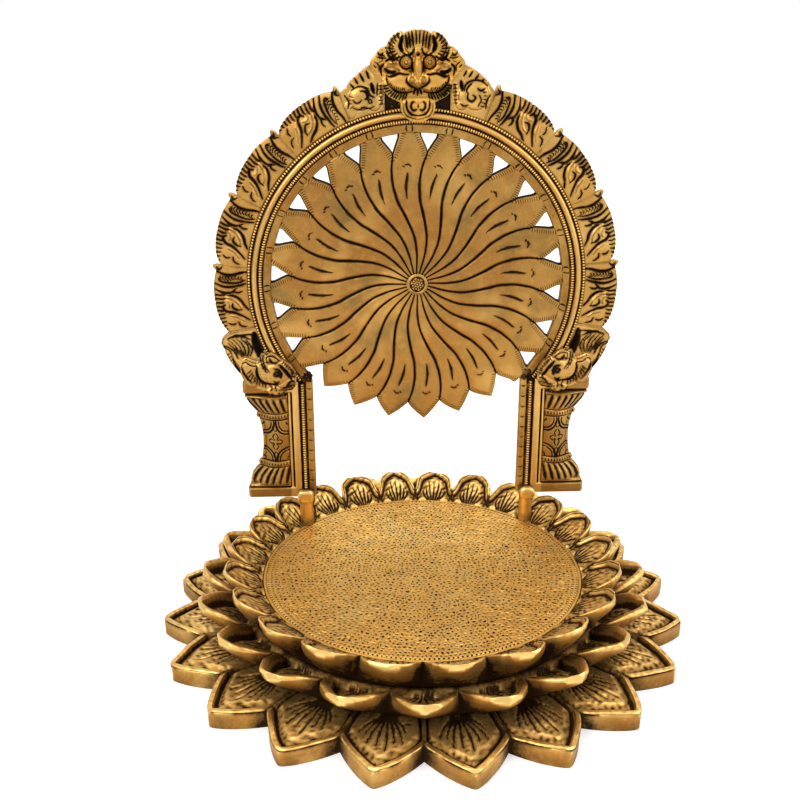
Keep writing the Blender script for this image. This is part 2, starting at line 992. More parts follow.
class Pattern:
    """A geometry tree with named inputs, run once to give a plain mesh."""

    def __init__(self, name: str, inputs: dict[str, Input]) -> None:
        """Makes the tree and its inputs.

        Args:
            name: The tree's name.
            inputs: Its inputs' names and kinds.
        """
        self.name = name
        self.tree = bpy.data.node_groups.new(name, "GeometryNodeTree")
        self.graph = Graph(self.tree)
        self.codes: dict[str, str] = {}
        for title, kind in {**inputs, "Finish": Input.MATERIAL}.items():
            socket = self.tree.interface.new_socket(title, in_out="INPUT", socket_type=kind.value)
            self.codes[title] = socket.identifier
        self.tree.interface.new_socket("Geometry", in_out="OUTPUT", socket_type="NodeSocketGeometry")
        self.given = self.graph.node("NodeGroupInput")
        self.sent = self.graph.node("NodeGroupOutput")

    def number(self, title: str) -> Number:
        """One of the inputs as a number."""
        return Number(self.graph, self.given.outputs[title])

    def shape(self, title: str) -> bpy.types.NodeSocket:
        """The geometry of an input object."""
        info = self.graph.node("GeometryNodeObjectInfo", {}, {"Object": self.given.outputs[title]})
        return info.outputs["Geometry"]

    def points(self, place: bpy.types.NodeSocket | None = None) -> bpy.types.NodeSocket:
        """As many points as the input Count says, at the origin or another place."""
        inputs = {"Count": self.given.outputs["Count"]}
        if place is not None:
            inputs["Position"] = place
        return self.graph.node("GeometryNodePoints", {}, inputs).outputs[0]

    def copies(self, points: bpy.types.NodeSocket, shape: bpy.types.NodeSocket,
               turn: bpy.types.NodeSocket | None = None, chosen: Number | None = None,
               ) -> bpy.types.NodeSocket:
        """Sets copies of a shape on points.

        Args:
            points: Where they go.
            shape: The geometry to copy.
            turn: Their rotation, if any.
            chosen: Which points get one, if not all.

        Returns:
            The copies' socket.
        """
        inputs = {"Points": points, "Instance": shape}
        for key, value in (("Rotation", turn), ("Selection", chosen)):
            if value is not None:
                inputs[key] = value
        return self.graph.node("GeometryNodeInstanceOnPoints", {}, inputs).outputs[0]

    def close(self, geometry: bpy.types.NodeSocket, weld: float = 0.0) -> None:
        """Ends the tree with real geometry, welded if asked, in the finish.

        Args:
            geometry: What the tree has made.
            weld: Distance in millimetres within which points are merged.
        """
        made = self.graph.real(geometry)
        if weld:
            made = self.graph.welded(made, weld * METRES)
        made = self.graph.node("GeometryNodeSetMaterial", {}, {
            "Geometry": made, "Material": self.given.outputs["Finish"]}).outputs[0]
        self.tree.links.new(made, self.sent.inputs[0])

    def run(self, name: str, values: dict[str, object]) -> bpy.types.Object:
        """Runs the tree and keeps its result as a plain object.

        Args:
            name: The object's name.
            values: What each named input is set to.

        Returns:
            The object, without the tree.
        """
        host = added(name, bpy.data.meshes.new(name))
        modifier = host.modifiers.new(self.name, "NODES")
        modifier.node_group = self.tree
        for title, value in values.items():
            modifier[self.codes[title]] = value
        mesh = baked(host, modifier)
        mesh.name = name
        mesh.shade_smooth()
        return host


def discard(*things: bpy.types.Object) -> None:
    """Removes template objects that a pattern has copied.

    Args:
        things: The objects.
    """
    for thing in things:
        bpy.data.objects.remove(thing)


def fused(name: str, things: Sequence[bpy.types.Object]) -> bpy.types.Object:
    """Joins objects into one.

    Args:
        name: The joined object's name.
        things: The objects, of which the first takes in the others.

    Returns:
        The joined object.
    """
    with bpy.context.temp_override(
        active_object=things[0], object=things[0], selected_objects=list(things),
        selected_editable_objects=list(things),
    ):
        bpy.ops.object.join()
    things[0].name = name
    things[0].data.name = name
    return things[0]


def settle(thing: bpy.types.Object, body: Body, nodes: Sequence[str],
           finish: bpy.types.Material | None = None) -> bpy.types.Object:
    """Gives a finished piece its body and the model's nodes that it stands for.

    Args:
        thing: The piece.
        body: The body that it moves with.
        nodes: The nodes that it replaces.
        finish: Its material, if it has none yet.

    Returns:
        The piece.
    """
    if finish is not None:
        thing.data.materials.clear()
        thing.data.materials.append(finish)
    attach(thing, body.value)
    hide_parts(*nodes)
    triangles = sum(len(face.vertices) - 2 for face in thing.data.polygons)
    LOG.info("%s: %d triangles, for %s", thing.name, triangles, ", ".join(nodes))
    return thing


# ---------------------------------------------------------------- lotus base


@dataclass(frozen=True)
class Level:
    """A level of a section that is the same on every column.

    Attributes:
        radius: Distance from the axis, or from the petal's edge where it follows the edge.
        height: Height above the floor.
        dark: Its darkness.
        follows_edge: Whether it keeps its distance from the petal's edge.
    """

    radius: float
    height: float
    dark: float = 0.6
    follows_edge: bool = False


@dataclass(frozen=True)
class Facet:
    """A flat ground on a petal's tip.

    Attributes:
        turn: Degrees to the side.
        slope: Degrees upwards.
        depth: How deep it cuts.
    """

    turn: float
    slope: float
    depth: float


@dataclass
class PetalTier:
    """One ring of petals, set round the base.

    Attributes:
        name: The piece's name and the node that it replaces.
        petals: How many petals there are.
        turn: Degrees by which the first petal is turned from the front.
        root: Radius and height at which the petals' upper side starts.
        valley: Radius and height of the edge between two petals.
        tip: Radius and height of the edge at the tip.
        fullness: How blunt the petals are.
        rim: Width of the raised rim.
        side_rim: Width of the rim along the petal's sides.
        hollow: Depth of the field within the rim.
        groove: Depth of the groove inside the rim.
        groove_width: Half its width.
        leaf: Height of the leaf raised in the field.
        veins: How many cuts fan out from the leaf's foot.
        vein_foot: Radius of the leaf's foot.
        vein_depth: Depth of the cuts.
        vein_reach: Share of the petal's length that the longest cut takes.
        lip: How far the rim's outer edge is rounded off.
        under: How far in and down from the lip the outer wall starts.
        foot: Where the outer wall ends.
        belly: How far the outer wall bulges.
        inside: The rest of the section.
        facets: Planes ground on the tips, for three kinds of petal.
        drift: Degrees by which the spacing swings round the ring.
        drift_start: Degrees at which the swing starts.
        rise: How the upper side rises from root to edge.
        field_dark: Darkness of the field.
        rim_line: Depth of a second line along the rim.
        crease: How far the edge draws in and down between two petals.
        columns: Columns of points across a petal.
        rows: Rows of points of the upper side.
        seen: Radius from which the upper side shows.
        slot: The record's material slot.
    """

    name: str
    petals: int
    turn: float
    root: Spot
    valley: Spot
    tip: Spot
    fullness: float
    rim: float
    side_rim: float
    hollow: float
    groove: float
    leaf: float
    veins: int
    vein_foot: float
    vein_depth: float
    lip: float
    under: Spot
    foot: Level
    belly: float
    inside: Sequence[Level]
    facets: Sequence[Sequence[Facet]] = ((), (), ())
    drift: float = 0.0
    drift_start: float = 0.0
    rise: float = 1.2
    field_dark: float = 0.45
    rim_line: float = 0.0
    crease: float = 0.0
    vein_reach: float = 0.78
    groove_width: float = 0.95
    columns: int = 56
    rows: int = 50
    seen: float = 84.0
    slot: Slot = Slot.WARM

    def petal(self, facets: Sequence[Facet]) -> Shell:
        """One petal's wedge of the ring, from valley to valley.

        Args:
            facets: The planes ground on its tip.

        Returns:
            The wedge, open on both sides, about the direction of the front.
        """
        across = np.linspace(-1.0, 1.0, self.columns + 1)
        edge, lip = self._edge(across)
        rows, patina, wear = self._top(across, edge, lip)
        side = smooth(0.6, 1.0, np.abs(across))
        foot_radius = edge - self.foot.radius if self.foot.follows_edge else self.foot.radius
        for share in np.linspace(0.0, 1.0, 9):
            radius = edge - self.under[0] + (foot_radius - edge + self.under[0]) * share
            height = lip - self.under[1] + (self.foot.height - lip + self.under[1]) * share
            radius = radius + self.belly * math.sin(math.pi * share**0.7)
            rows.append(self._spot(across, radius, height))
            # The outer wall darkens quickly below its lip.
            patina.append(np.clip(0.06 + side * 0.45 + self.foot.dark * share**0.75, 0, 1))
            wear.append(0.25 * (1 - side) * (1 - share) ** 3)
        for level in self.inside:
            radius = edge - level.radius if level.follows_edge else np.full(len(across), level.radius)
            rows.append(self._spot(across, radius, np.full(len(across), level.height)))
            patina.append(np.full(len(across), level.dark))
            wear.append(np.zeros(len(across)))
        points = np.stack(rows, 1)
        tones = np.stack(patina, 1), np.stack(wear, 1)
        for facet in facets:
            points, tones = self._ground(points, tones, facet)
        faces = lattice(*points.shape[:2])[:, ::-1].tolist()
        return Shell(points.reshape(-1, 3), faces, tones[0].ravel(), tones[1].ravel())

    def _edge(self, across: Array) -> tuple[Array, Array]:
        """The edge's radius and height across the petal."""
        tip = 1 - (across**2 + 0.0012) ** (self.fullness / 2)
        crease = self.crease * smooth(0.68, 1.0, np.abs(across)) ** 1.5
        radius = self.valley[0] + (self.tip[0] - self.valley[0]) * tip - crease
        return radius, self.valley[1] + (self.tip[1] - self.valley[1]) * tip - crease * 0.8

    def _spot(self, across: Array, radius: Array, height: Array) -> Array:
        """Points at radii and heights on the wedge's columns."""
        angle = across * math.pi / self.petals
        return np.stack([radius * np.sin(angle), -radius * np.cos(angle), height], 1)

    def _top(self, across: Array, edge: Array, lip: Array) -> tuple[list, list, list]:
        """Rows of the upper side from root to edge, with their tones."""
        fine = np.linspace(-1.0, 1.0, 161)
        radius, _ = self._edge(fine)
        outline = self._spot(fine, radius, radius)[:, :2]
        first = max((self.seen - self.root[0]) / (self.tip[0] - self.root[0]), 0.02)
        inner = np.linspace(first, 0.8, self.rows // 2, endpoint=False)
        outer = 1 - 0.2 * np.linspace(1.0, 0.0, self.rows // 2) ** 1.3
        rows, patina, wear = [], [], []
        half = math.pi / self.petals
        for share in np.concatenate([[0.0], inner, outer]):
            r = self.root[0] + (edge - self.root[0]) * share
            spots = self._spot(across, r, r)[:, :2]
            to_edge, _ = nearest(spots, outline)
            to_edge *= share < 1
            to_side = r * np.sin(half * (1 - np.abs(across))) * self.rim / self.side_rim
            gap = np.minimum(to_edge, to_side + self.rim * 0.3)
            shell = self.root[1] + (lip - self.root[1]) * share**self.rise
            sunk = smooth(self.rim - 0.5, self.rim + 0.9, gap)
            groove = crown(gap - self.rim - 0.8, self.groove_width)
            leaf = smooth(self.rim + 1.0, self.rim + 4.4, gap)
            vein = self._veins(spots) * smooth(self.rim + 1.2, self.rim + 2.6, gap)
            line = crown(gap - self.rim * 0.62, 0.4) * smooth(0.05, 0.3, gap)
            fall = self.lip * (1 - np.sqrt(1 - (1 - np.clip(to_edge / self.lip, 0, 1)) ** 2))
            height = shell - self.hollow * sunk - self.groove * groove + self.leaf * leaf
            height -= self.vein_depth * vein + fall + self.rim_line * line
            height += 0.12 * wander(np.column_stack([spots, height]), 3.1, 4) * sunk
            rows.append(self._spot(across, r, height))
            dark = self.field_dark * sunk * (1.3 - 0.9 * leaf) + 0.9 * groove
            dark += 0.85 * np.clip(vein * 1.4, 0, 1)
            dark += 0.6 * line * (self.rim_line > 0) + smooth(0.88, 1.0, np.abs(across)) * 0.6
            dark += 0.2 * sunk * (1 - smooth(0.1, 0.5, np.full(len(across), share)))
            mottle = wander(np.column_stack([spots, height]), 2.3, 9)
            dark += 0.4 * np.clip(mottle, 0, 1) * (0.25 + 0.75 * sunk)
            dark *= 1 - 0.6 * (1 - smooth(0.0, 0.16, np.full(len(across), share)))
            patina.append(np.clip(0.03 + dark, 0, 1))
            wear.append(np.clip((1 - sunk) * 0.55 + leaf * 0.6 - vein * 1.5 - mottle * 0.35, 0, 1))
        return rows, patina, wear

    def _veins(self, spots: Array) -> Array:
        """The fan of cuts from the leaf's foot."""
        total = np.zeros(len(spots))
        length = self.tip[0] - self.vein_foot
        for k in range(self.veins):
            lean = (k - (self.veins - 1) / 2) / max(self.veins - 1, 1) * 2
            reach = length * (self.vein_reach - 0.26 * abs(lean) - 0.08 * (k % 2))
            start = np.array([lean * 2.6, -self.vein_foot])
            angle = lean * 0.6
            end = start + reach * np.array([math.sin(angle), -math.cos(angle)])
            middle = (start + end) / 2 + np.array([lean * 0.9, 0.0])
            gap, along = nearest(spots, spline([start, middle, end], 5))
            total = np.maximum(total, crown(gap, 0.85 - 0.5 * along))
        return total

    def _ground(self, points: Array, tones: tuple[Array, Array], facet: Facet) -> tuple:
        """Grinds the tip flat along a plane."""
        a, e = math.radians(facet.turn), math.radians(facet.slope)
        normal = np.array([math.sin(a) * math.cos(e), -math.cos(a) * math.cos(e), math.sin(e)])
        limit = (points.reshape(-1, 3) @ normal).max() - facet.depth
        over = points @ normal - limit
        ground = smooth(0.0, 0.1, over)
        moved = points - np.maximum(over, 0.0)[..., None] * normal
        return moved, (tones[0] * (1 - ground), np.maximum(tones[1], ground))

    def build(self, finish: bpy.types.Material, pattern: Pattern) -> bpy.types.Object:
        """Sets the petals round the base.

        Args:
            finish: The metal.
            pattern: The tree that repeats wedges round the axis.

        Returns:
            The tier.
        """
        wedges = [self.petal(kind).thing(f"{self.name}_{number}")
                  for number, kind in enumerate(self.facets)]
        ring = pattern.run(self.name.replace("petal_tier", "petals"), {
            "Wedge A": wedges[0], "Wedge B": wedges[1], "Wedge C": wedges[2],
            "Count": self.petals, "Turn": math.radians(self.turn),
            "Swing": math.radians(self.drift), "Swing Start": math.radians(self.drift_start),
            "Wobble": 0.0006, "Finish": finish,
        })
        discard(*wedges)
        return ring


def petal_pattern() -> Pattern:
    """The tree that repeats wedges round the upright axis and swings their spacing.

    Returns:
        The pattern.
    """
    pattern = Pattern("Petals round the base", {
        "Wedge A": Input.OBJECT, "Wedge B": Input.OBJECT, "Wedge C": Input.OBJECT,
        "Count": Input.COUNT, "Turn": Input.NUMBER, "Swing": Input.NUMBER,
        "Swing Start": Input.NUMBER, "Wobble": Input.NUMBER,
    })
    graph = pattern.graph
    points = pattern.points()
    index = graph.index()
    turn = graph.vector({2: index / pattern.number("Count") * (2 * math.pi)})
    kind = graph.math("MODULO", index * 7 + graph.math("MODULO", index, 2.0) * 4, 3.0)
    wedges = graph.node("GeometryNodeJoinGeometry")
    for number, title in enumerate(("Wedge C", "Wedge B", "Wedge A")):
        chosen = graph.math("COMPARE", kind, float(number), 0.25)
        copies = pattern.copies(points, pattern.shape(title), turn, chosen)
        graph.tree.links.new(copies, wedges.inputs[0])
    real = graph.real(wedges.outputs[0])
    x, y, z = graph.parts(graph.position())
    radius = graph.math("SQRT", x * x + y * y)
    even = graph.math("ARCTAN2", x, 0.0 - y) + pattern.number("Turn")
    swung = even + pattern.number("Swing") * graph.math("SINE", even - pattern.number("Swing Start"))
    moved = graph.vector({
        0: radius * graph.math("SINE", swung), 1: 0.0 - radius * graph.math("COSINE", swung), 2: z})
    noise = graph.node("ShaderNodeTexNoise", {"noise_dimensions": "4D"}, {
        "Vector": moved, "W": 3.7, "Scale": 55.0, "Detail": 1.0})
    centred = graph.vector_math("SUBTRACT", {0: noise.outputs["Color"], 1: (0.5, 0.5, 0.5)})
    # The floor's edge and the stack's inside stay as they are.
    freed = (z - 0.004).above(0.0, 0.003) * (radius - 0.076).above(0.0, 0.004)
    shift = graph.vector_math("SCALE", {0: centred, "Scale": pattern.number("Wobble") * 4 * freed})
    pattern.close(graph.placed(real, graph.vector_math("ADD", {0: moved, 1: shift})), 0.006)
    return pattern


@dataclass
class LotusBase:
    """The base: three tiers of petals round the seat.

    Attributes:
        peg_place: How far right and back of the middle a peg's hole is.
        peg_hole: The hole's radius.
        hole_dark: Darkness of its walls.
        facets: Facets round it.
        socket: Outer radius and the heights of foot, floor and rim of the cup below a hole.
    """

    peg_place: Spot = PEG_PLACE
    peg_hole: float = 3.65
    hole_dark: float = 0.9
    facets: int = 32
    socket: tuple[float, float, float, float] = (6.2, 12.6, 14.4, 15.5)

    def tiers(self) -> list[PetalTier]:
        """The three petal tiers, from the floor up.

        Returns:
            The tiers.
        """
        lower = PetalTier(
            name="lower_petal_tier", petals=20, turn=6.3,
            root=(79.0, 6.9), valley=(99.5, 8.0), tip=(114.8, 7.9), fullness=1.18,
            rim=2.4, side_rim=1.1, hollow=1.7, groove=1.2, leaf=1.6, veins=8, vein_foot=85.0,
            vein_depth=1.3, lip=0.6, under=(0.0, 0.5), foot=Level(0.15, 0.3, 0.3, True), belly=0.0,
            inside=(
                Level(0.4, 0.0, 0.6, True), Level(2.9, 0.0, 0.7, True), Level(3.2, 0.4, 0.7, True),
                Level(3.2, 3.3, 0.8, True), Level(76.0, 3.3, 0.8), Level(75.8, 9.4, 0.8),
                Level(3.3, 9.4, 0.8), Level(3.3, 12.0, 0.9), Level(78.5, 12.0, 0.9),
                Level(79.0, 11.4, 0.9),
            ),
            facets=((Facet(0, 38, 0.7),), (Facet(9, 30, 0.8), Facet(-6, 0, 0.35)), (Facet(-7, 44, 0.8),)),
            rise=0.5, field_dark=0.3, seen=86.0, vein_reach=0.66,
        )
        middle = PetalTier(
            name="middle_petal_tier", petals=20, turn=-2.7,
            root=(79.6, 14.9), valley=(86.6, 21.6), tip=(101.0, 25.2), fullness=1.42,
            rim=3.7, side_rim=1.4, hollow=3.7, groove=0.6, leaf=1.6, veins=6, vein_foot=79.0,
            vein_depth=1.2, lip=2.3, under=(0.0, 2.4), foot=Level(84.6, 8.3, 0.75), belly=1.3,
            inside=(
                Level(79.6, 8.3, 0.8), Level(79.6, 12.3, 0.8), Level(3.3, 12.3, 0.8),
                Level(3.3, 14.9, 0.9), Level(76.0, 14.9, 0.7), Level(78.6, 14.9, 0.55),
            ),
            facets=(
                (Facet(3, 40, 1.7), Facet(-20, 24, 1.3), Facet(18, 8, 1.0)),
                (Facet(-6, 34, 1.7), Facet(17, 50, 1.6), Facet(12, 8, 1.0)),
                (Facet(0, 48, 1.5), Facet(-14, 14, 1.2), Facet(17, 24, 1.4)),
            ),
            rise=1.05, field_dark=0.4, seen=81.0, crease=3.0,
        )
        upper = PetalTier(
            name="upper_petal_tier", petals=22, turn=-10.0,
            root=(70.9, 22.45), valley=(80.6, 30.2), tip=(88.3, 32.9), fullness=1.5,
            rim=1.9, side_rim=0.95, hollow=1.1, groove=0.8, leaf=1.3, veins=7, vein_foot=70.5,
            vein_depth=0.9, lip=1.1, under=(0.0, 1.1), foot=Level(77.0, 15.2, 0.8), belly=1.1,
            inside=(Level(3.3, 15.2, 0.8), Level(3.3, 17.8, 0.9), Level(71.0, 17.8, 0.9)),
            facets=(
                (Facet(2, 46, 1.5), Facet(-13, 18, 1.2)), (Facet(-6, 36, 1.5), Facet(14, 22, 1.2)),
                (Facet(4, 30, 1.6), Facet(-12, 52, 1.1)),
            ),
            drift=6.0, drift_start=10.0, rise=1.1, field_dark=0.22, rim_line=0.3, seen=71.4, crease=4.0,
            vein_reach=0.64, groove_width=0.62,
            slot=Slot.WORN,
        )
        return [lower, middle, upper]

    def build(self, worn: bpy.types.Material, aged: bpy.types.Material, sat: bpy.types.Material) -> None:
        """Builds the tiers and the seat.

        Args:
            worn: The rubbed metal.
            aged: The darker metal.
            sat: The seat's metal.
        """
        pattern = petal_pattern()
        for tier in self.tiers():
            on_top = tier.slot == Slot.WORN
            ring = tier.build(worn if on_top else aged, pattern)
            if on_top:
                ring = self.bored(ring, self.socket[-1] + 0.1, 45.0)
                ring = fused(ring.name, [ring, self.sockets(aged)])
            weather(ring, dirt=1.5, rub=1.6)
            settle(ring, Body.BASE, [tier.name])
        seat = Seat()
        plate = self.bored(seat.plate().thing("seat_body"), 10.0, 40.0)
        settle(seat.build(sat, plate), Body.BASE, ["seat_plate"])

    def pair(self, profile: Sequence[Sequence[float]], name: str) -> bpy.types.Object:
        """Two turned bodies, one about each peg's axis.

        Args:
            profile: Radius, height, darkness and brightness of each level.
            name: The object's name.

        Returns:
            Both as one object.
        """
        made = []
        for side in (-1.0, 1.0):
            body = turned(profile, self.facets)
            body.points += np.array([side * self.peg_place[0], self.peg_place[1], 0.0])
            made.append(outward(body))
        return Shell.together(made).thing(name)

    def bored(self, thing: bpy.types.Object, bottom: float, top: float) -> bpy.types.Object:
        """Bores the two peg holes, whose walls get the piece's own metal, dark with age.

        Args:
            thing: The closed piece.
            bottom: Height at which the holes start.
            top: Height at which they end.

        Returns:
            The same piece with the holes.
        """
        walls = [(radius, height, self.hole_dark, 0) for radius, height in (
            (0.0, bottom), (self.peg_hole, bottom), (self.peg_hole, top), (0.0, top))]
        cutter = self.pair(walls, "drills")
        holes = thing.modifiers.new("peg holes", "BOOLEAN")
        holes.operation, holes.solver, holes.object = "DIFFERENCE", "EXACT", cutter
        mesh = baked(thing, holes)
        discard(cutter)
        slots = gathered(mesh.polygons, "material_index", kind=np.int32)
        slots[:] = np.bincount(slots).argmax()
        mesh.polygons.foreach_set("material_index", slots)
        x, y, _ = gathered(mesh.vertices, "co", 3).T / METRES
        bore = np.hypot(np.abs(x) - self.peg_place[0], y - self.peg_place[1]) < self.peg_hole + 0.05
        layer = mesh.attributes["patina"]
        values = gathered(layer.data, "value", kind=np.float32)
        retone(layer, np.where(bore, self.hole_dark, values))
        LOG.info("%s bored, %d points on the holes' walls", thing.name, bore.sum())
        return thing

    def sockets(self, finish: bpy.types.Material) -> bpy.types.Object:
        """The two cups that hold the pegs under the seat.

        Args:
            finish: The metal.

        Returns:
            The cups.
        """
        outer, foot, floor, rim = self.socket
        profile = [
            (0.0, foot, 0.8, 0), (outer, foot, 0.8, 0), (outer, rim, 0.8, 0),
            (self.peg_hole, rim, 0.9, 0), (self.peg_hole, floor, 0.9, 0), (0.0, floor, 0.9, 0),
        ]
        both = self.pair(profile, "sockets")
        both.data.materials.append(finish)
        return both


@dataclass
class Seat:
    """The round seat: a plate with a smooth rim, all punched with dimples in rings.

    Attributes:
        radius: Radius of the plate.
        height: Height of its top.
        field: Radius of the punched part.
        rings: Rings of dimples.
        depth: Depth of a dimple.
        bottom: Height of the skirt's foot.
    """

    radius: float = 70.6
    height: float = 22.4
    field: float = 69.2
    rings: int = 39
    depth: float = 0.5
    bottom: float = 18.1

    def dimple(self) -> Shell:
        """A six-sided cell with a punched pit, 1 mm across its corners' circle.

        Returns:
            The cell.
        """
        sides = 6
        angle = np.arange(sides) * math.pi / 3 + math.pi / 6
        rings = [(0.57735, 0.0, 0.12, 0.2), (0.31, 0.04, 0.2, 0.7), (0.19, -0.7, 0.85, 0.0)]
        points, patina, wear = [], [], []
        for radius, height, dark, bright in rings:
            points += [(radius * math.cos(a), radius * math.sin(a), height * self.depth) for a in angle]
            patina += [dark] * sides
            wear += [bright] * sides
        points.append((0.0, 0.0, -self.depth))
        patina.append(1.0)
        wear.append(0.0)
        return Shell(np.array(points), nested(sides), np.array(patina), np.array(wear))

    def plate(self) -> Shell:
        """The plate under the punched field, with its smooth rim.

        Returns:
            The plate.
        """
        top, low = self.height, self.height - 0.9
        profile = [
            (0.0, self.bottom, 0.6, 0), (66.0, self.bottom, 0.6, 0),
            (self.radius - 0.2, self.bottom, 0.6, 0), (self.radius, self.bottom + 0.3, 0.8, 0),
            (self.radius, top - 0.4, 0.6, 0), (self.radius - 0.1, top - 0.15, 0.4, 0),
            (self.radius - 0.35, top - 0.02, 0.2, 0.2), (self.field + 0.5, top, 0.15, 0.3),
            (self.field + 0.2, top - 0.05, 0.3, 0.2), (self.field + 0.05, top - 0.3, 0.6, 0.0),
            (self.field, low, 0.9, 0), (self.field - 4, low, 0.9, 0), (0.0, low, 0.9, 0),
        ]
        return turned(profile, 192)

    def build(self, finish: bpy.types.Material, plate: bpy.types.Object) -> bpy.types.Object:
        """Punches the field and joins it to the plate.

        Args:
            finish: The metal.
            plate: The plate, with its peg holes.

        Returns:
            The seat.
        """
        cell = self.dimple()
        cell.points[:, :2] /= METRES
        template = cell.thing("punched_cell")
        pitch = self.field / (self.rings + 0.35)
        field_piece = seat_pattern().run("seat_field", {
            "Cell": template, "Rings": self.rings, "Pitch": pitch * METRES,
            "Edge": self.field * METRES, "Height": (self.height - 0.05) * METRES, "Finish": finish,
        })
        discard(template)
        plate.data.materials.append(finish)
        return fused("dimpled_seat", [plate, field_piece])


def seat_pattern() -> Pattern:
    """The tree that lays punched cells in rings: a six-sided lattice bent round.

    Returns:
        The pattern.
    """
    pattern = Pattern("Dimples in rings", {
        "Cell": Input.OBJECT, "Rings": Input.COUNT, "Pitch": Input.NUMBER,
        "Edge": Input.NUMBER, "Height": Input.NUMBER,
    })
    graph = pattern.graph
    rings, pitch = pattern.number("Rings"), pattern.number("Pitch")
    side = rings * 2 + 1
    row_step = math.sqrt(0.75)
    grid = graph.node("GeometryNodeMeshGrid", {}, {
        "Size X": rings * 2, "Size Y": rings * 2, "Vertices X": side, "Vertices Y": side,
    }).outputs[0]
    i, j, _ = graph.parts(graph.position())
    far = graph.math("MAXIMUM", graph.math("MAXIMUM", abs(i), abs(j)), abs(i + j))
    outside = graph.math("GREATER_THAN", far, rings + 0.5)
    kept = graph.node("GeometryNodeDeleteGeometry", {"domain": "POINT"}, {
        "Geometry": grid, "Selection": outside}).outputs[0]
    laid = graph.placed(kept, graph.vector({0: i + j * 0.5, 1: j * row_step}))
    cells = graph.welded(graph.real(pattern.copies(laid, pattern.shape("Cell"))), 0.02)
    x, y, z = graph.parts(graph.position())
    angle = graph.math("ARCTAN2", y, x)
    sixth = math.pi / 3
    sector = graph.math("FLOOR", angle / sixth) * sixth + sixth / 2
    lean = angle - sector
    length = graph.math("SQRT", x * x + y * y)
    shell = length * graph.math("COSINE", lean) / row_step
    bent = sector + graph.math("TANGENT", lean) * (sixth / 2 / math.tan(sixth / 2))
    wide = graph.math("MINIMUM", shell * pitch, pattern.number("Edge"))
    sunk = graph.math("GREATER_THAN", shell * pitch, pattern.number("Edge") - 0.00001)
    wobble = graph.node("ShaderNodeTexNoise", {"noise_dimensions": "3D"}, {
        "Vector": graph.position(), "Scale": 0.62, "Detail": 1.0,
    })
    drift = graph.vector_math("MULTIPLY_ADD", {
        0: wobble.outputs["Color"], 1: (0.0036, 0.0036, 0.0009), 2: (-0.0018, -0.0018, -0.0005)})
    punched = z * (Number(graph, wobble.outputs[0]) * 2.4 - 0.25)
    moved = graph.vector({
        0: wide * graph.math("COSINE", bent),
        1: wide * graph.math("SINE", bent),
        2: pattern.number("Height") + punched - sunk * 0.0007,
    })
    loose = graph.vector_math("ADD", {0: moved, 1: drift})
    # Towards the rim the rings run true.
    steady = graph.node("ShaderNodeMix", {"data_type": "VECTOR"}, {
        0: (wide / pattern.number("Edge")).above(0.93, 0.99)})
    graph.tree.links.new(loose, steady.inputs[4])
    graph.tree.links.new(moved, steady.inputs[5])
    pattern.close(graph.placed(cells, steady.outputs[1]))
    return pattern


# ---------------------------------------------------------------- back: sun disc


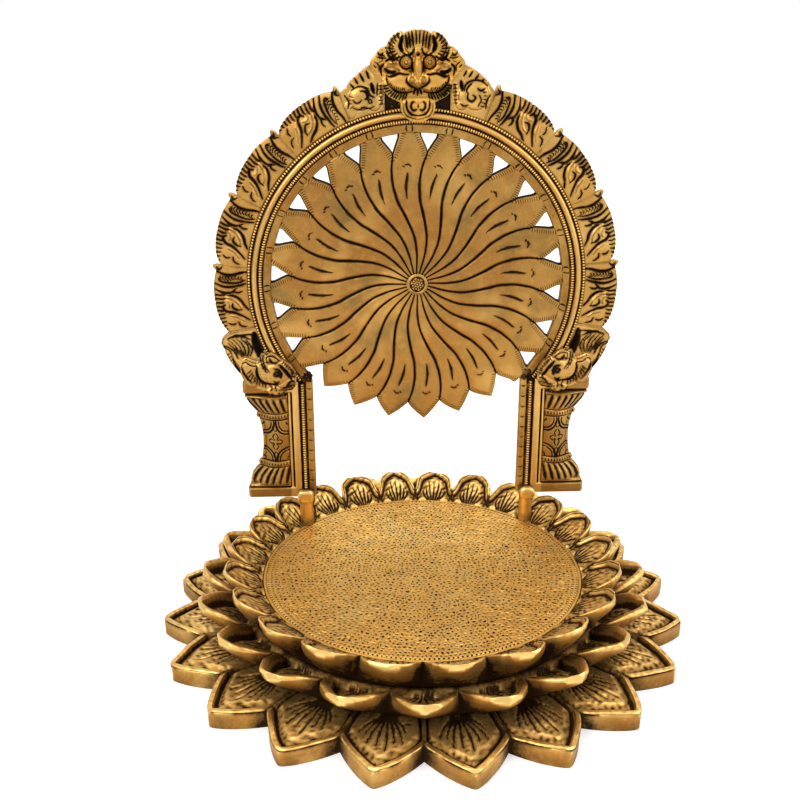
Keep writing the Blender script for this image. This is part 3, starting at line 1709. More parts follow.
@dataclass
class SunDisc:
    """The sun disc: rays parted by S-shaped grooves, with openings towards the ring.

    Attributes:
        middle: Height of the disc's middle.
        front: Where its front lies.
        thickness: Its thickness.
        rays: How many rays there are.
        turn: Degrees of the first ray from straight up, clockwise.
        notch: Radius where two rays part.
        bound: Radius at which a ray meets the ring.
        free: Radius of a free ray's point.
        tip: Width of a ray where it meets the ring.
        belly: How far a free ray's flanks bulge.
        draft: How far an opening's walls slope in towards the back.
        groove: Half the width of a groove.
        groove_depth: Its depth.
        swell: How far a ray swells between its grooves.
        hub: Radius at which the rays start, under the boss.
        stroke: Radii between which a ray's short stroke lies.
        hook: Radius of the small hook's bow.
        inland: Distance from the edge that stands for no edge near.
        sway: Degrees by which the grooves swing at shares of the notch's radius.
        first_free: Number of the first free ray.
        last_free: Number of the last free ray.
    """

    middle: float = RING_MIDDLE
    front: float = 46.6
    thickness: float = 2.4
    rays: int = RAYS
    turn: float = FIRST_RAY
    notch: float = 57.3
    bound: float = 66.3
    free: float = 65.0
    tip: float = 7.2
    belly: float = 1.1
    draft: float = 0.8
    groove: float = 0.72
    groove_depth: float = 0.8
    swell: float = 0.5
    hub: float = 3.2
    stroke: Spot = (38.5, 50.0)
    hook: float = 53.2
    inland: float = 9.0
    sway: tuple[Spot, ...] = (
        (0.0, 6.0), (0.09, 8.4), (0.21, 10.6), (0.35, 8.0), (0.49, 2.2), (0.645, -2.8),
        (0.785, -3.4), (0.925, -1.9), (1.0, 0.0), (1.15, 0.0),
    )
    first_free: int = 9
    last_free: int = 14

    def ray(self, is_free: bool) -> Shell:
        """One ray from the boss to its tip, upright, about the origin.

        Args:
            is_free: Whether it ends in a point.

        Returns:
            The ray's wedge, open on its sides as far as the notch.
        """
        half = math.pi / self.rays
        fine = np.array([0, 0.012, 0.03, 0.055, 0.1, 0.2, 0.35, 0.5, 0.65, 0.8, 0.9, 0.955, 1.0])
        across = np.concatenate([-1 + fine[:-1], 1 - fine[::-1]])
        tip = self.free if is_free else self.bound
        radii = np.concatenate([
            np.linspace(self.hub, self.notch, 88), np.linspace(self.notch, tip, 16)[1:],
        ])
        beyond = np.clip((radii - self.notch) / (tip - self.notch), 0.0, 1.0)
        width = self._width(radii, beyond, is_free)
        draft = self.draft * (0.3 if is_free else 1.0) * np.clip(beyond * 9, 0.0, 1.0)
        sway = np.interp(radii / self.notch, *np.array(self.sway).T)
        sway = np.convolve(np.pad(sway, 4, "edge"), np.ones(9) / 9, "valid")
        step = np.hypot(np.diff(radii), np.diff(width * radii))
        length = np.concatenate([[0.0], np.cumsum(step)])
        length -= length[np.searchsorted(radii, self.notch)]
        loops, patina, wear, run, gaps = [], [], [], [], []
        for k, r in enumerate(radii):
            swing = math.radians(sway[k])
            angle = across * width[k] + swing
            side = (1 - np.abs(across)) * width[k] * r
            inner = r <= self.notch
            narrow = self.groove * min(1.0, 0.4 + r / 42) * (1.0 if r < 46 else 1 - 0.4 * (r - 46) / 12)
            groove = crown(side, narrow) if inner else np.zeros(len(across))
            stroke = self._stroke(r, across * width[k] * r)
            swell = self.swell * (1 - np.abs(across) ** 2) * smooth(6, 24, np.array(r))
            lift = swell - np.maximum(groove * self.groove_depth, stroke * 0.5)
            depth = self.front - np.clip(lift, -0.9, 0.6)
            front = np.stack([r * np.sin(angle), depth, r * np.cos(angle)], 1)
            lean = across * np.minimum(width[k] + draft[k] / r, half) + swing
            behind = np.full(len(lean), self.front + self.thickness)
            rear = np.stack([r * np.sin(lean), behind, r * np.cos(lean)], 1)
            lips = front[[0, -1]] + (rear - front)[[0, -1]] * (0.0 if inner else 0.16)
            loops.append(np.vstack([front, lips[1:], rear[::-1][::2], lips[:1]]))
            hidden = len(loops[-1]) - len(front)
            tone = np.clip(1.8 * np.maximum(groove, stroke), 0.0, 1.0)
            far = np.full(len(across), self.inland)
            if r > self.notch - 6:
                far = self._gap_to_edge(r, across * width[k], tip, is_free)
            shade = np.full(hidden, 0.4)
            shade[[0, 1, -2, -1]] = 1.0
            patina.append(np.concatenate([0.03 + tone * 0.95, shade]))
            wear.append(np.concatenate([0.28 * (1 - tone), np.zeros(hidden)]))
            gaps.append(np.concatenate([far, np.full(hidden, self.inland)]))
            run.append(np.full(len(across) + hidden, length[k]))
        faces = self._faces(radii, len(across), len(loops[0]))
        marks = {"edge_run": np.concatenate(run) + 40.0, "edge_gap": np.concatenate(gaps)}
        return Shell(np.vstack(loops), faces, np.concatenate(patina), np.concatenate(wear), marks)

    def _width(self, radii: Array, beyond: Array, is_free: bool) -> Array:
        """Half a ray's width, as an angle, at radii that lie shares of the way beyond the notch."""
        half = math.pi / self.rays
        edge = 0.0 if is_free else self.tip / 2 / self.bound
        width = half + (edge - half) * beyond
        if is_free:
            width += self.belly * 0.2 * np.sin(math.pi * beyond) / np.maximum(radii, 1.0)
        else:
            width += 0.7 * smooth(0.7, 1.0, beyond) ** 2 / radii
        return np.where(radii <= self.notch, half, np.maximum(width, 0.0004))

    def _faces(self, radii: Array, front: int, around: int) -> list[list[int]]:
        """A ray's faces; its flanks have none as far as the notch, where it joins the next ray."""
        last_inner = int(np.searchsorted(radii, self.notch))
        flanks = (front - 1, front, around - 2, around - 1)
        faces = []
        for i in range(len(radii) - 1):
            for j in range(around):
                if j in flanks and i < last_inner:
                    continue
                n = (j + 1) % around
                faces.append([(i + 1) * around + j, (i + 1) * around + n, i * around + n, i * around + j])
        faces.append([(len(radii) - 1) * around + j for j in reversed(range(around))])
        return faces

    def _gap_to_edge(self, r: float, angle: Array, tip: float, is_free: bool) -> Array:
        """Distance from points at a radius and at angles to the ray's free edge."""
        half = math.pi / self.rays
        edge = 0.0 if is_free else self.tip / 2 / self.bound
        shares = np.linspace(0.0, 1.0, 9)
        radii = self.notch + (tip - self.notch) * shares
        bulge = self.belly * 0.2 if is_free else 0.0
        angles = half + (edge - half) * shares + bulge * np.sin(math.pi * shares) / radii
        line = np.stack([radii * np.sin(angles), radii * np.cos(angles)], 1)
        spots = np.stack([r * np.sin(np.abs(angle)), r * np.cos(angle)], 1)
        return nearest(spots, line)[0]

    def _stroke(self, r: float, sideways: Array) -> Array:
        """The short stroke and the small hook within a ray."""
        stroke = np.zeros(len(sideways))
        low, high = self.stroke
        if low < r < high:
            width = 0.68 * math.sin(math.pi * (r - low) / (high - low)) ** 0.7 + 0.05
            stroke = crown(sideways + 0.5 * math.cos((r - low) / 4.0), width)
        if self.hook - 2.7 < r < self.hook + 0.8:
            bow = self.hook - 0.42 * sideways**2
            stroke = np.maximum(stroke, crown(r - bow, 0.5) * (np.abs(sideways) < 1.9))
        return stroke

    def build(self, finish: bpy.types.Material) -> bpy.types.Object:
        """Sets the rays round the boss.

        Args:
            finish: The metal.

        Returns:
            The disc.
        """
        bound = self.ray(False).thing("ray_to_ring")
        free = self.ray(True).thing("ray_free")
        disc = ray_pattern().run("sun_rays", {
            "Ray": bound, "Free Ray": free, "Count": self.rays,
            "First Free": self.first_free, "Last Free": self.last_free,
            "Turn": math.radians(self.turn), "Height": self.middle * METRES, "Finish": finish,
        })
        discard(bound, free)
        weather(disc, dirt=0.6, rub=0.8, spread=1)
        soiled(disc, 0.11, low=100.0, high=155.0)
        return settle(disc, Body.BACK, ["sun_disc"])


def ray_pattern() -> Pattern:
    """The tree that sets rays clockwise about the disc's middle.

    Returns:
        The pattern.
    """
    pattern = Pattern("Rays round the boss", {
        "Ray": Input.OBJECT, "Free Ray": Input.OBJECT, "Count": Input.COUNT,
        "First Free": Input.COUNT, "Last Free": Input.COUNT,
        "Turn": Input.NUMBER, "Height": Input.NUMBER,
    })
    graph = pattern.graph
    points = pattern.points(graph.vector({2: pattern.number("Height")}))
    index = graph.index()
    step = 2 * math.pi / pattern.number("Count")
    turn = graph.vector({1: index * step + pattern.number("Turn")})
    early = graph.math("LESS_THAN", index, pattern.number("First Free") - 0.5)
    late = graph.math("GREATER_THAN", index, pattern.number("Last Free") + 0.5)
    bound = pattern.copies(points, pattern.shape("Ray"), turn, early + late)
    free = pattern.copies(points, pattern.shape("Free Ray"), turn, 1.0 - early - late)
    joined = graph.node("GeometryNodeJoinGeometry")
    graph.tree.links.new(bound, joined.inputs[0])
    graph.tree.links.new(free, joined.inputs[0])
    pattern.close(joined.outputs[0], 0.01)
    return pattern


# ---------------------------------------------------------------- back: ring, leaves and posts


def bead_pattern() -> Pattern:
    """The tree that sets beads along a path, each turned with it.

    Returns:
        The pattern.
    """
    pattern = Pattern("Beads along a path", {"Path": Input.OBJECT, "Bead": Input.OBJECT})
    graph = pattern.graph
    lean = graph.node("GeometryNodeInputNamedAttribute", {"data_type": "FLOAT"}, {"Name": "lean"})
    turn = graph.vector({1: lean.outputs[0]})
    pattern.close(pattern.copies(pattern.shape("Path"), pattern.shape("Bead"), turn))
    return pattern


def bead(width: float, length: float, height: float) -> Shell:
    """A low rounded bead that faces the front.

    Args:
        width: Its width across the line.
        length: Its length along the line.
        height: How far it stands out.

    Returns:
        The bead.
    """
    sides = 8
    angle = np.arange(sides) * 2 * math.pi / sides
    points, tones = [], []
    for share, out, dark in ((1.0, -0.25, 0.9), (0.96, 0.12, 0.55), (0.68, 0.74, 0.08)):
        points += [(share * width / 2 * math.sin(a), -out * height, share * length / 2 * math.cos(a))
                   for a in angle]
        tones += [dark] * sides
    points.append((0.0, -height, 0.0))
    tones.append(0.0)
    faces = [*nested(sides), list(range(sides))[::-1]]
    dark = np.array(tones)
    return outward(Shell(np.array(points), faces, dark, np.clip(0.75 - dark, 0, 1)))


def beaded(name: str, path: Array, lean: Array, shape: Shell, pattern: Pattern,
           finish: bpy.types.Material) -> bpy.types.Object:
    """Sets beads along a path.

    Args:
        name: The piece's name.
        path: Where the beads go.
        lean: Each bead's turn in radians.
        shape: The bead.
        pattern: The tree that sets them.
        finish: The metal.

    Returns:
        The beads.
    """
    line = Shell(path, [], np.zeros(len(path)), np.zeros(len(path)), {"lean": lean}).thing(name + "_path")
    one = shape.thing(name + "_one")
    beads = pattern.run(name, {"Path": line, "Bead": one, "Finish": finish})
    discard(line, one)
    return beads


@dataclass
class ArchRing:
    """The horseshoe moulding round the disc, with its two lines of beads.

    Attributes:
        middle: Height of its middle.
        back: Where its back lies.
        inner: Its inner radius.
        ends: Height at which it is cut level.
        band: Width and depth of the plain band.
        beads: Middle radius, width and pitch of each line of beads.
        roll: Middle radius, width and depth of the half-round.
        bed: Depth of the ground between them.
        outer: Its outer radius.
        ticks: Half the spacing of the short cuts at each ray's tip.
        rays: How many rays it is parted into.
        turn: Degrees of the first ray from straight up.
        steps: Steps along it.
    """

    middle: float = RING_MIDDLE
    back: float = BACK_PLANE
    inner: float = 66.0
    ends: float = 96.2
    band: Spot = (3.75, 3.9)
    beads: tuple[tuple[float, float, float], ...] = ((70.8, 1.95, 1.12), (75.75, 1.5, 1.3))
    roll: tuple[float, float, float] = (73.35, 2.7, 6.1)
    bed: float = 4.2
    outer: float = 76.5
    ticks: float = 0.85
    rays: int = RAYS
    turn: float = FIRST_RAY
    steps: int = 760

    def place(self, radius: Array, share: Array, depth: Array, trim: Array) -> Array:
        """Points at radii, shares of the way from the top to an end, and depths.

        Args:
            radius: Distance from the ring's middle.
            share: Share of the way, below 0 on the left.
            depth: How far a point stands off the back.
            trim: How far above the level end the moulding stops.

        Returns:
            One row for each point.
        """
        end = np.arccos((self.ends + trim - self.middle) / radius)
        angle = share * end
        x, z = radius * np.sin(angle), self.middle + radius * np.cos(angle)
        return np.stack(np.broadcast_arrays(x, self.back - depth, z), -1)

    def moulding(self) -> Shell:
        """The ring without its beads.

        Returns:
            The moulding.
        """
        width, depth = self.band
        edge = self.inner + width
        middle, breadth, crest = self.roll
        bulge = np.linspace(-1, 1, 9)
        foot = [(self.inner, 0.0, 0.4), (self.inner, depth - 0.5, 0.5),
                (self.inner + 0.15, depth - 0.12, 0.3)]
        band = [(self.inner + 0.5 + share * (width - 0.9), depth, 0.26)
                for share in np.linspace(0, 1, 10)]
        bed = [(edge - 0.1, depth - 0.4, 0.8), (edge + 0.15, self.bed, 0.6),
               (self.beads[0][0] + 0.8, self.bed, 0.75)]
        roll = [(middle + breadth / 2 * b, self.bed + (crest - self.bed) * math.sqrt(max(1 - b * b, 0)),
                 0.85 * abs(b) ** 5 + 0.25 * (abs(b + 0.25) < 0.13)) for b in bulge]
        rest = [(self.beads[1][0] - 0.7, self.bed, 0.95), (self.outer - 0.15, self.bed, 0.7),
                (self.outer, self.bed - 0.3, 0.6), (self.outer, 0.0, 0.4)]
        table = np.array(foot + band + bed + roll + rest)
        number = np.arange(len(table))
        on_band = (number >= len(foot)) & (number < len(foot + band))
        shares = np.linspace(-1, 1, self.steps)
        end = math.acos((self.ends - self.middle) / (self.inner + width / 2))
        half = 180 / self.rays
        phase = (np.degrees(shares * end) - self.turn + half) % (2 * half) - half
        run = np.radians(phase) * (self.inner + width / 2)
        radius, level, dark = table.T
        trim = np.maximum(self.beads[0][0] - 0.3 - radius, 0.0) * 0.85
        across = (radius - self.inner) / width
        bow = self.ticks + 0.55 * np.sin(np.pi * across)
        loops, patina, wear = [], [], []
        for share, off in zip(shares, run):
            cut = crown(np.abs(off) - bow, 0.42) * on_band * (across > 0.18) * (across < 0.88)
            loops.append(self.place(radius, share, level - 0.4 * cut, trim))
            patina.append(np.clip(dark + cut * 0.8, 0, 1))
            wear.append((level > self.bed + 0.9) * 0.4 + on_band * 0.05)
        return outward(swept(loops, patina, wear))

    def ground(self) -> bpy.types.Object:
        """The dark ground outside the ring, behind the mask's foot.

        Returns:
            The ground.
        """
        half, top, radius = 15.2, 221.6, self.outer - 0.3
        arc = np.arcsin(np.linspace(half, -half, 24) / radius)
        foot = np.stack([np.sin(arc), np.cos(arc)], 1) * radius + (0.0, self.middle)
        edge = np.vstack([[(-half, top), (half, top)], foot])
        return ground_plate(edge, self.back - 0.8, 2.2, 0.4).thing("ring_ground")

    def lumps(self) -> list[bpy.types.Object]:
        """The braze that has run together where the ring meets the jambs.

        Returns:
            The lumps.
        """
        places = (
            (51.3, 98.6, 2.3, 2.5), (50.6, 96.9, 1.5, 1.6), (53.4, 96.9, 1.3, 1.2),
            (-51.3, 98.6, 2.4, 2.3), (-50.5, 97.0, 1.4, 1.7), (-53.2, 97.0, 1.4, 1.1),
        )
        deep, rows, facets = 2.6, 11, 18
        lean, turn = (table.ravel() for table in np.meshgrid(
            np.linspace(0.05, math.pi - 0.05, rows),
            np.linspace(0.0, 2 * math.pi, facets, endpoint=False), indexing="ij"))
        made = []
        for number, (x, z, wide, tall) in enumerate(places):
            points = np.stack([wide * np.sin(lean) * np.cos(turn), deep * np.sin(lean) * np.sin(turn),
                               tall * np.cos(lean)], 1)
            points *= 1.0 + 0.16 * np.sin(points @ np.array([2.3, 1.9, 2.7]) + number)[:, None]
            points += (x, self.back - deep, z)
            tones = np.full((rows, facets), 0.62), np.zeros((rows, facets))
            lump = outward(swept(points.reshape(rows, facets, 3), *tones))
            made.append(lump.thing(f"braze_{number}"))
            weather(made[-1], dirt=1.5, rub=2.5)
        return made

    def build(self, finish: bpy.types.Material, pattern: Pattern) -> bpy.types.Object:
        """Makes the ring with its beads.

        Args:
            finish: The metal.
            pattern: The tree that sets beads.

        Returns:
            The ring.
        """
        body = self.moulding().thing("ring_moulding")
        body.data.materials.append(finish)
        weather(body, dirt=1.0, rub=0.8)
        parts = [body]
        for piece in (self.ground(), *self.lumps()):
            piece.data.materials.append(finish)
            parts.append(piece)
        for radius, width, pitch in self.beads:
            end = math.acos((self.ends + width / 2 - self.middle) / radius)
            count = int(2 * end * radius / pitch)
            angle = np.linspace(-end, end, count)
            path = np.stack([radius * np.sin(angle), np.full(count, self.back - self.bed),
                             self.middle + radius * np.cos(angle)], 1)
            shape = bead(width, pitch * 0.98, 1.0)
            parts.append(beaded(f"ring_beads_{int(radius)}", path, angle + math.pi / 2, shape, pattern,
                                finish))
        return settle(fused("arch_ring_moulded", parts), Body.BACK, ["arch_ring"])


@dataclass
class LeafLobe:
    """A carved leaf outside the ring: a knuckle, a ribbed leaf, slit edges and a curl.

    Attributes:
        middle: Height of the ring's middle.
        inner: Radius of its inner edge.
        reach: Radius that it reaches.
        start: Degrees from the top at which it starts.
        pitch: Degrees from one lobe to the next.
        gap: Degrees left free at each end; below 0, the lobes reach into one another.
        count: How many lobes there are on a side.
        slits: How many slits the leaf's edge has.
        slit_start: Share of the lobe at which the first slit lies.
        slit_pitch: Share from one slit to the next.
    """

    middle: float = RING_MIDDLE
    inner: float = RING_OUTSIDE
    reach: float = 92.3
    start: float = 22.0
    pitch: float = 20.7
    gap: float = -0.16
    count: int = 4
    slits: int = 11
    slit_start: float = 0.41
    slit_pitch: float = 0.055

    def spot(self, along: float, out: float) -> Spot:
        """A place on the lobe, from its knuckle to its lower end and from the ring outwards."""
        angle = math.radians(self.start + self.gap + (self.pitch - 2 * self.gap) * along)
        radius = self.inner + (self.reach - self.inner) * out
        return radius * math.sin(angle), self.middle + radius * math.cos(angle)

    def line(self, *places: Spot) -> tuple[Spot, ...]:
        """Places on the lobe as a stroke's points."""
        return tuple(self.spot(along, out) for along, out in places)

    def cut(self, width: float, depth: float, *places: Spot) -> Stroke:
        """A cut through places on the lobe."""
        return Stroke(self.line(*places), width * 1.1, -depth * 1.15)

    def rib(self, width: float, lift: float, *places: Spot) -> Stroke:
        """A ridge through places on the lobe."""
        return Stroke(self.line(*places), width, lift)

    def strokes(self) -> list[Stroke]:
        """The carving.

        Returns:
            Its cuts and ridges.
        """
        made = [
            self.cut(0.62, 1.1, (0.055, 0.98), (0.12, 0.72), (0.13, 0.45), (0.09, 0.2), (0.07, 0.02)),
            self.cut(0.5, 0.9, (0.17, 0.74), (0.2, 0.82), (0.235, 0.74), (0.25, 0.5), (0.245, 0.28),
                     (0.21, 0.08)),
            self.cut(0.6, 1.1, (0.25, 0.98), (0.3, 0.72), (0.31, 0.5), (0.29, 0.25), (0.26, 0.06)),
            self.cut(0.5, 0.9, (0.33, 0.98), (0.38, 0.75), (0.395, 0.55), (0.37, 0.4)),
            self.cut(0.5, 0.8, (0.33, 0.32), (0.37, 0.42), (0.4, 0.3), (0.38, 0.18)),
            self.cut(0.62, 1.2, (0.43, 0.58), (0.45, 0.4), (0.52, 0.25), (0.61, 0.17), (0.7, 0.06)),
            self.cut(0.62, 1.2, (0.56, 0.7), (0.6, 0.78), (0.66, 0.7), (0.69, 0.5), (0.75, 0.32),
                     (0.86, 0.1)),
            self.cut(0.5, 0.9, (0.55, 0.48), (0.61, 0.5), (0.66, 0.38), (0.67, 0.25)),
            self.cut(0.42, 0.8, (0.83, 0.74), (0.87, 0.62), (0.86, 0.5)),
            self.cut(0.42, 0.8, (0.84, 0.44), (0.91, 0.4), (0.95, 0.24)),
            self.cut(0.42, 0.8, (0.02, 0.9), (0.06, 0.8), (0.02, 0.72)),
            self.rib(0.8, 0.55, (0.35, 0.9), (0.41, 0.68), (0.42, 0.5), (0.35, 0.36)),
            self.rib(1.0, 0.6, (0.46, 0.66), (0.49, 0.48), (0.56, 0.34), (0.64, 0.28)),
            self.rib(1.0, 0.5, (0.62, 0.62), (0.58, 0.58), (0.52, 0.62), (0.51, 0.76)),
            self.rib(0.9, 0.5, (0.73, 0.62), (0.77, 0.42), (0.85, 0.26)),
        ]
        for k in range(8):
            out = 0.76 - 0.085 * k
            made.append(self.cut(0.3, 0.6, (0.145, out), (0.18, out + 0.035),
                                 (0.215 + 0.01 * math.sin(k), out - 0.045)))
        for k in range(self.slits):
            share = k / (self.slits - 1)
            along = self.slit_start + self.slit_pitch * k
            depth = 0.3 - 0.1 * share if k > 1 else 0.34
            made.append(self.cut(0.52 - 0.12 * share, 1.1, (along, 1.04),
                                 (along + 0.018, 1.0 - depth * 0.6),
                            (along + 0.008, 1.0 - depth)))
        return made

    def outline(self) -> Array:
        """The lobe's edge, scalloped along its slits.

        Returns:
            Its corners.
        """
        reach = spline([(0.0, 0.9), (0.02, 1.0), (0.055, 0.97), (0.08, 0.9), (0.15, 0.93), (0.3, 0.98),
                        (0.5, 1.0), (0.7, 0.98), (0.85, 0.92), (0.95, 0.82), (1.0, 0.7)], 10)
        along = reach[:, 0]
        wave = np.cos((along - self.slit_start) / self.slit_pitch * 2 * np.pi)
        notch = 0.028 * np.clip(wave, 0, 1) ** 3 * (along > self.slit_start - 0.03)
        outer = [self.spot(a, o - n) for (a, o), n in zip(reach, notch)]
        inner = [self.spot(a, 0.0) for a in np.linspace(1, 0, 20)]
        return np.array(outer + inner)

    def height(self, spots: Array, gap: Array) -> Array:
        """How far the front stands off the back."""
        radius = np.hypot(spots[:, 0], spots[:, 1] - self.middle)
        out = (radius - self.inner) / (self.reach - self.inner)
        angle = np.degrees(np.arctan2(spots[:, 0], spots[:, 1] - self.middle)) - self.start
        along = angle / self.pitch
        dome = 0.9 * np.sin(np.pi * np.clip(out, 0, 1))
        dome += 0.5 * crown(along - 0.62, 0.3) * crown(out - 0.45, 0.5)
        knuckle = 1.4 * crown(np.hypot((along - 0.045) * 30, (out - 0.86) * 15.5), 2.3)
        return np.minimum(3.3 - 0.9 * np.clip(out, 0, 1) + dome + knuckle, 4.7)

    def build(self, finish: bpy.types.Material) -> None:
        """Carves a lobe and sets it round both sides of the ring.

        Args:
            finish: The metal.
        """
        pattern = leaf_pattern()
        lobe = Relief(self.outline(), self.height, self.strokes(), pitch=0.34, rounding=0.6).shell()
        for side, sign, shape in hands(lobe):
            template = shape.thing(f"leaf_{side}")
            leaves = pattern.run(f"leaves_{side}", {
                "Leaf": template, "Count": self.count, "Pitch": math.radians(self.pitch) * sign,
                "Height": self.middle * METRES, "Finish": finish,
            })
            discard(template)
            weather(leaves, dirt=1.4, rub=2.0)
            nodes = [f"leaf_lobe_{side}_{k + 1}" for k in range(self.count)]
            settle(leaves, Body.BACK, nodes)


def leaf_pattern() -> Pattern:
    """The tree that sets copies of a leaf round the ring.

    Returns:
        The pattern.
    """
    pattern = Pattern("Leaves round the ring", {
        "Leaf": Input.OBJECT, "Count": Input.COUNT, "Pitch": Input.NUMBER, "Height": Input.NUMBER})
    graph = pattern.graph
    height = pattern.number("Height")
    lowered = graph.node("GeometryNodeTransform", {}, {
        "Geometry": pattern.shape("Leaf"), "Translation": graph.vector({2: 0.0 - height})}).outputs[0]
    turn = graph.vector({1: graph.index() * pattern.number("Pitch")})
    pattern.close(pattern.copies(pattern.points(graph.vector({2: height})), lowered, turn))
    return pattern


@dataclass
class Jamb:
    """The upright moulding that carries the ring's lines down to the peg.

    Attributes:
        inner: Its inner edge.
        foot: Height of its foot.
        head: Height of its head.
        back: Where its back lies.
        section: Its front, as distance from the inner edge, depth and darkness.
        bead: Middle, width and pitch of the line of beads.
        plinth: Height of the pillar's plinths, where the outer groove ends.
        mark_pitch: Spacing of the small arcs on the inner strip.
    """

    inner: float = 49.0
    foot: float = POST_FOOT
    head: float = POST_HEAD
    back: float = BACK_PLANE
    section: tuple[tuple[float, float, float], ...] = (
        (0.0, 0.0, 0.4), (0.0, 2.7, 0.4), (0.35, 3.1, 0.2), (0.9, 3.2, 0.15), (1.4, 3.2, 0.15),
        (1.9, 3.2, 0.15), (2.4, 3.2, 0.15), (2.9, 3.15, 0.2), (3.3, 2.7, 0.8), (3.7, 2.8, 0.7),
        (4.9, 2.9, 0.7), (6.1, 2.8, 0.95), (6.4, 3.0, 1.0), (6.55, 4.6, 0.6), (6.85, 5.0, 0.1),
        (7.3, 5.1, 0.08), (8.2, 5.1, 0.08), (9.1, 5.1, 0.08), (9.6, 5.0, 0.1), (9.8, 4.5, 0.6),
        (9.9, 3.3, 1.0), (10.3, 3.2, 1.0), (10.45, 4.2, 0.6), (10.7, 4.65, 0.1), (11.2, 4.7, 0.08),
        (11.55, 4.5, 0.3), (12.0, 4.1, 0.7), (12.0, 0.0, 0.5),
    )
    bead: tuple[float, float, float] = (4.9, 2.2, 1.22)
    plinth: float = 4.7
    mark_pitch: float = 5.2

    def build(self, finish: bpy.types.Material, pattern: Pattern) -> None:
        """Makes both jambs.

        Args:
            finish: The metal.
            pattern: The tree that sets beads.
        """
        heights = np.arange(self.foot, self.head + 0.01, (self.head - self.foot) / 140)
        table = np.array(self.section)
        loops, patina, wear = [], [], []
        for z in heights:
            x, depth, dark = table[:, 0], table[:, 1].copy(), table[:, 2].copy()
            if min(z - self.foot, self.head - z) < self.plinth:
                flush = (x > 9.5) & (depth > 1.0)
                depth[flush], dark[flush] = 5.1, 0.1
            place = (z - self.foot) % self.mark_pitch
            on_strip = (x > 0.5) & (x < 2.8) & (depth > 3)
            cut = crown(place - 2.2 - 0.55 * np.abs(x - 1.6), 0.45) * on_strip
            front = self.back - depth + 0.35 * cut
            loops.append(np.stack([self.inner + x, front, np.full(len(x), z)], 1))
            patina.append(np.clip(dark + cut * 0.7, 0, 1))
            wear.append((dark < 0.12) * 0.55)
        body = outward(swept(loops, patina, wear))
        middle, width, pitch = self.bead
        places = np.arange(self.foot + pitch / 2, self.head - pitch / 2, pitch)
        path = np.stack([np.full(len(places), self.inner + middle),
                         np.full(len(places), self.back - 2.9), places], 1)
        for side, sign, shape in hands(body):
            moulding = shape.thing(f"jamb_{side}_moulding")
            moulding.data.materials.append(finish)
            weather(moulding, dirt=0.8, rub=0.8)
            line = path * np.array([sign, 1.0, 1.0])
            beads = beaded(f"jamb_{side}_beads", line, np.zeros(len(line)),
                           bead(width, pitch * 0.99, 1.9),
                           pattern, finish)
            post = fused(f"jamb_{side}_moulded", [moulding, beads])
            settle(post, Body.BACK, [f"jamb_{side}"])


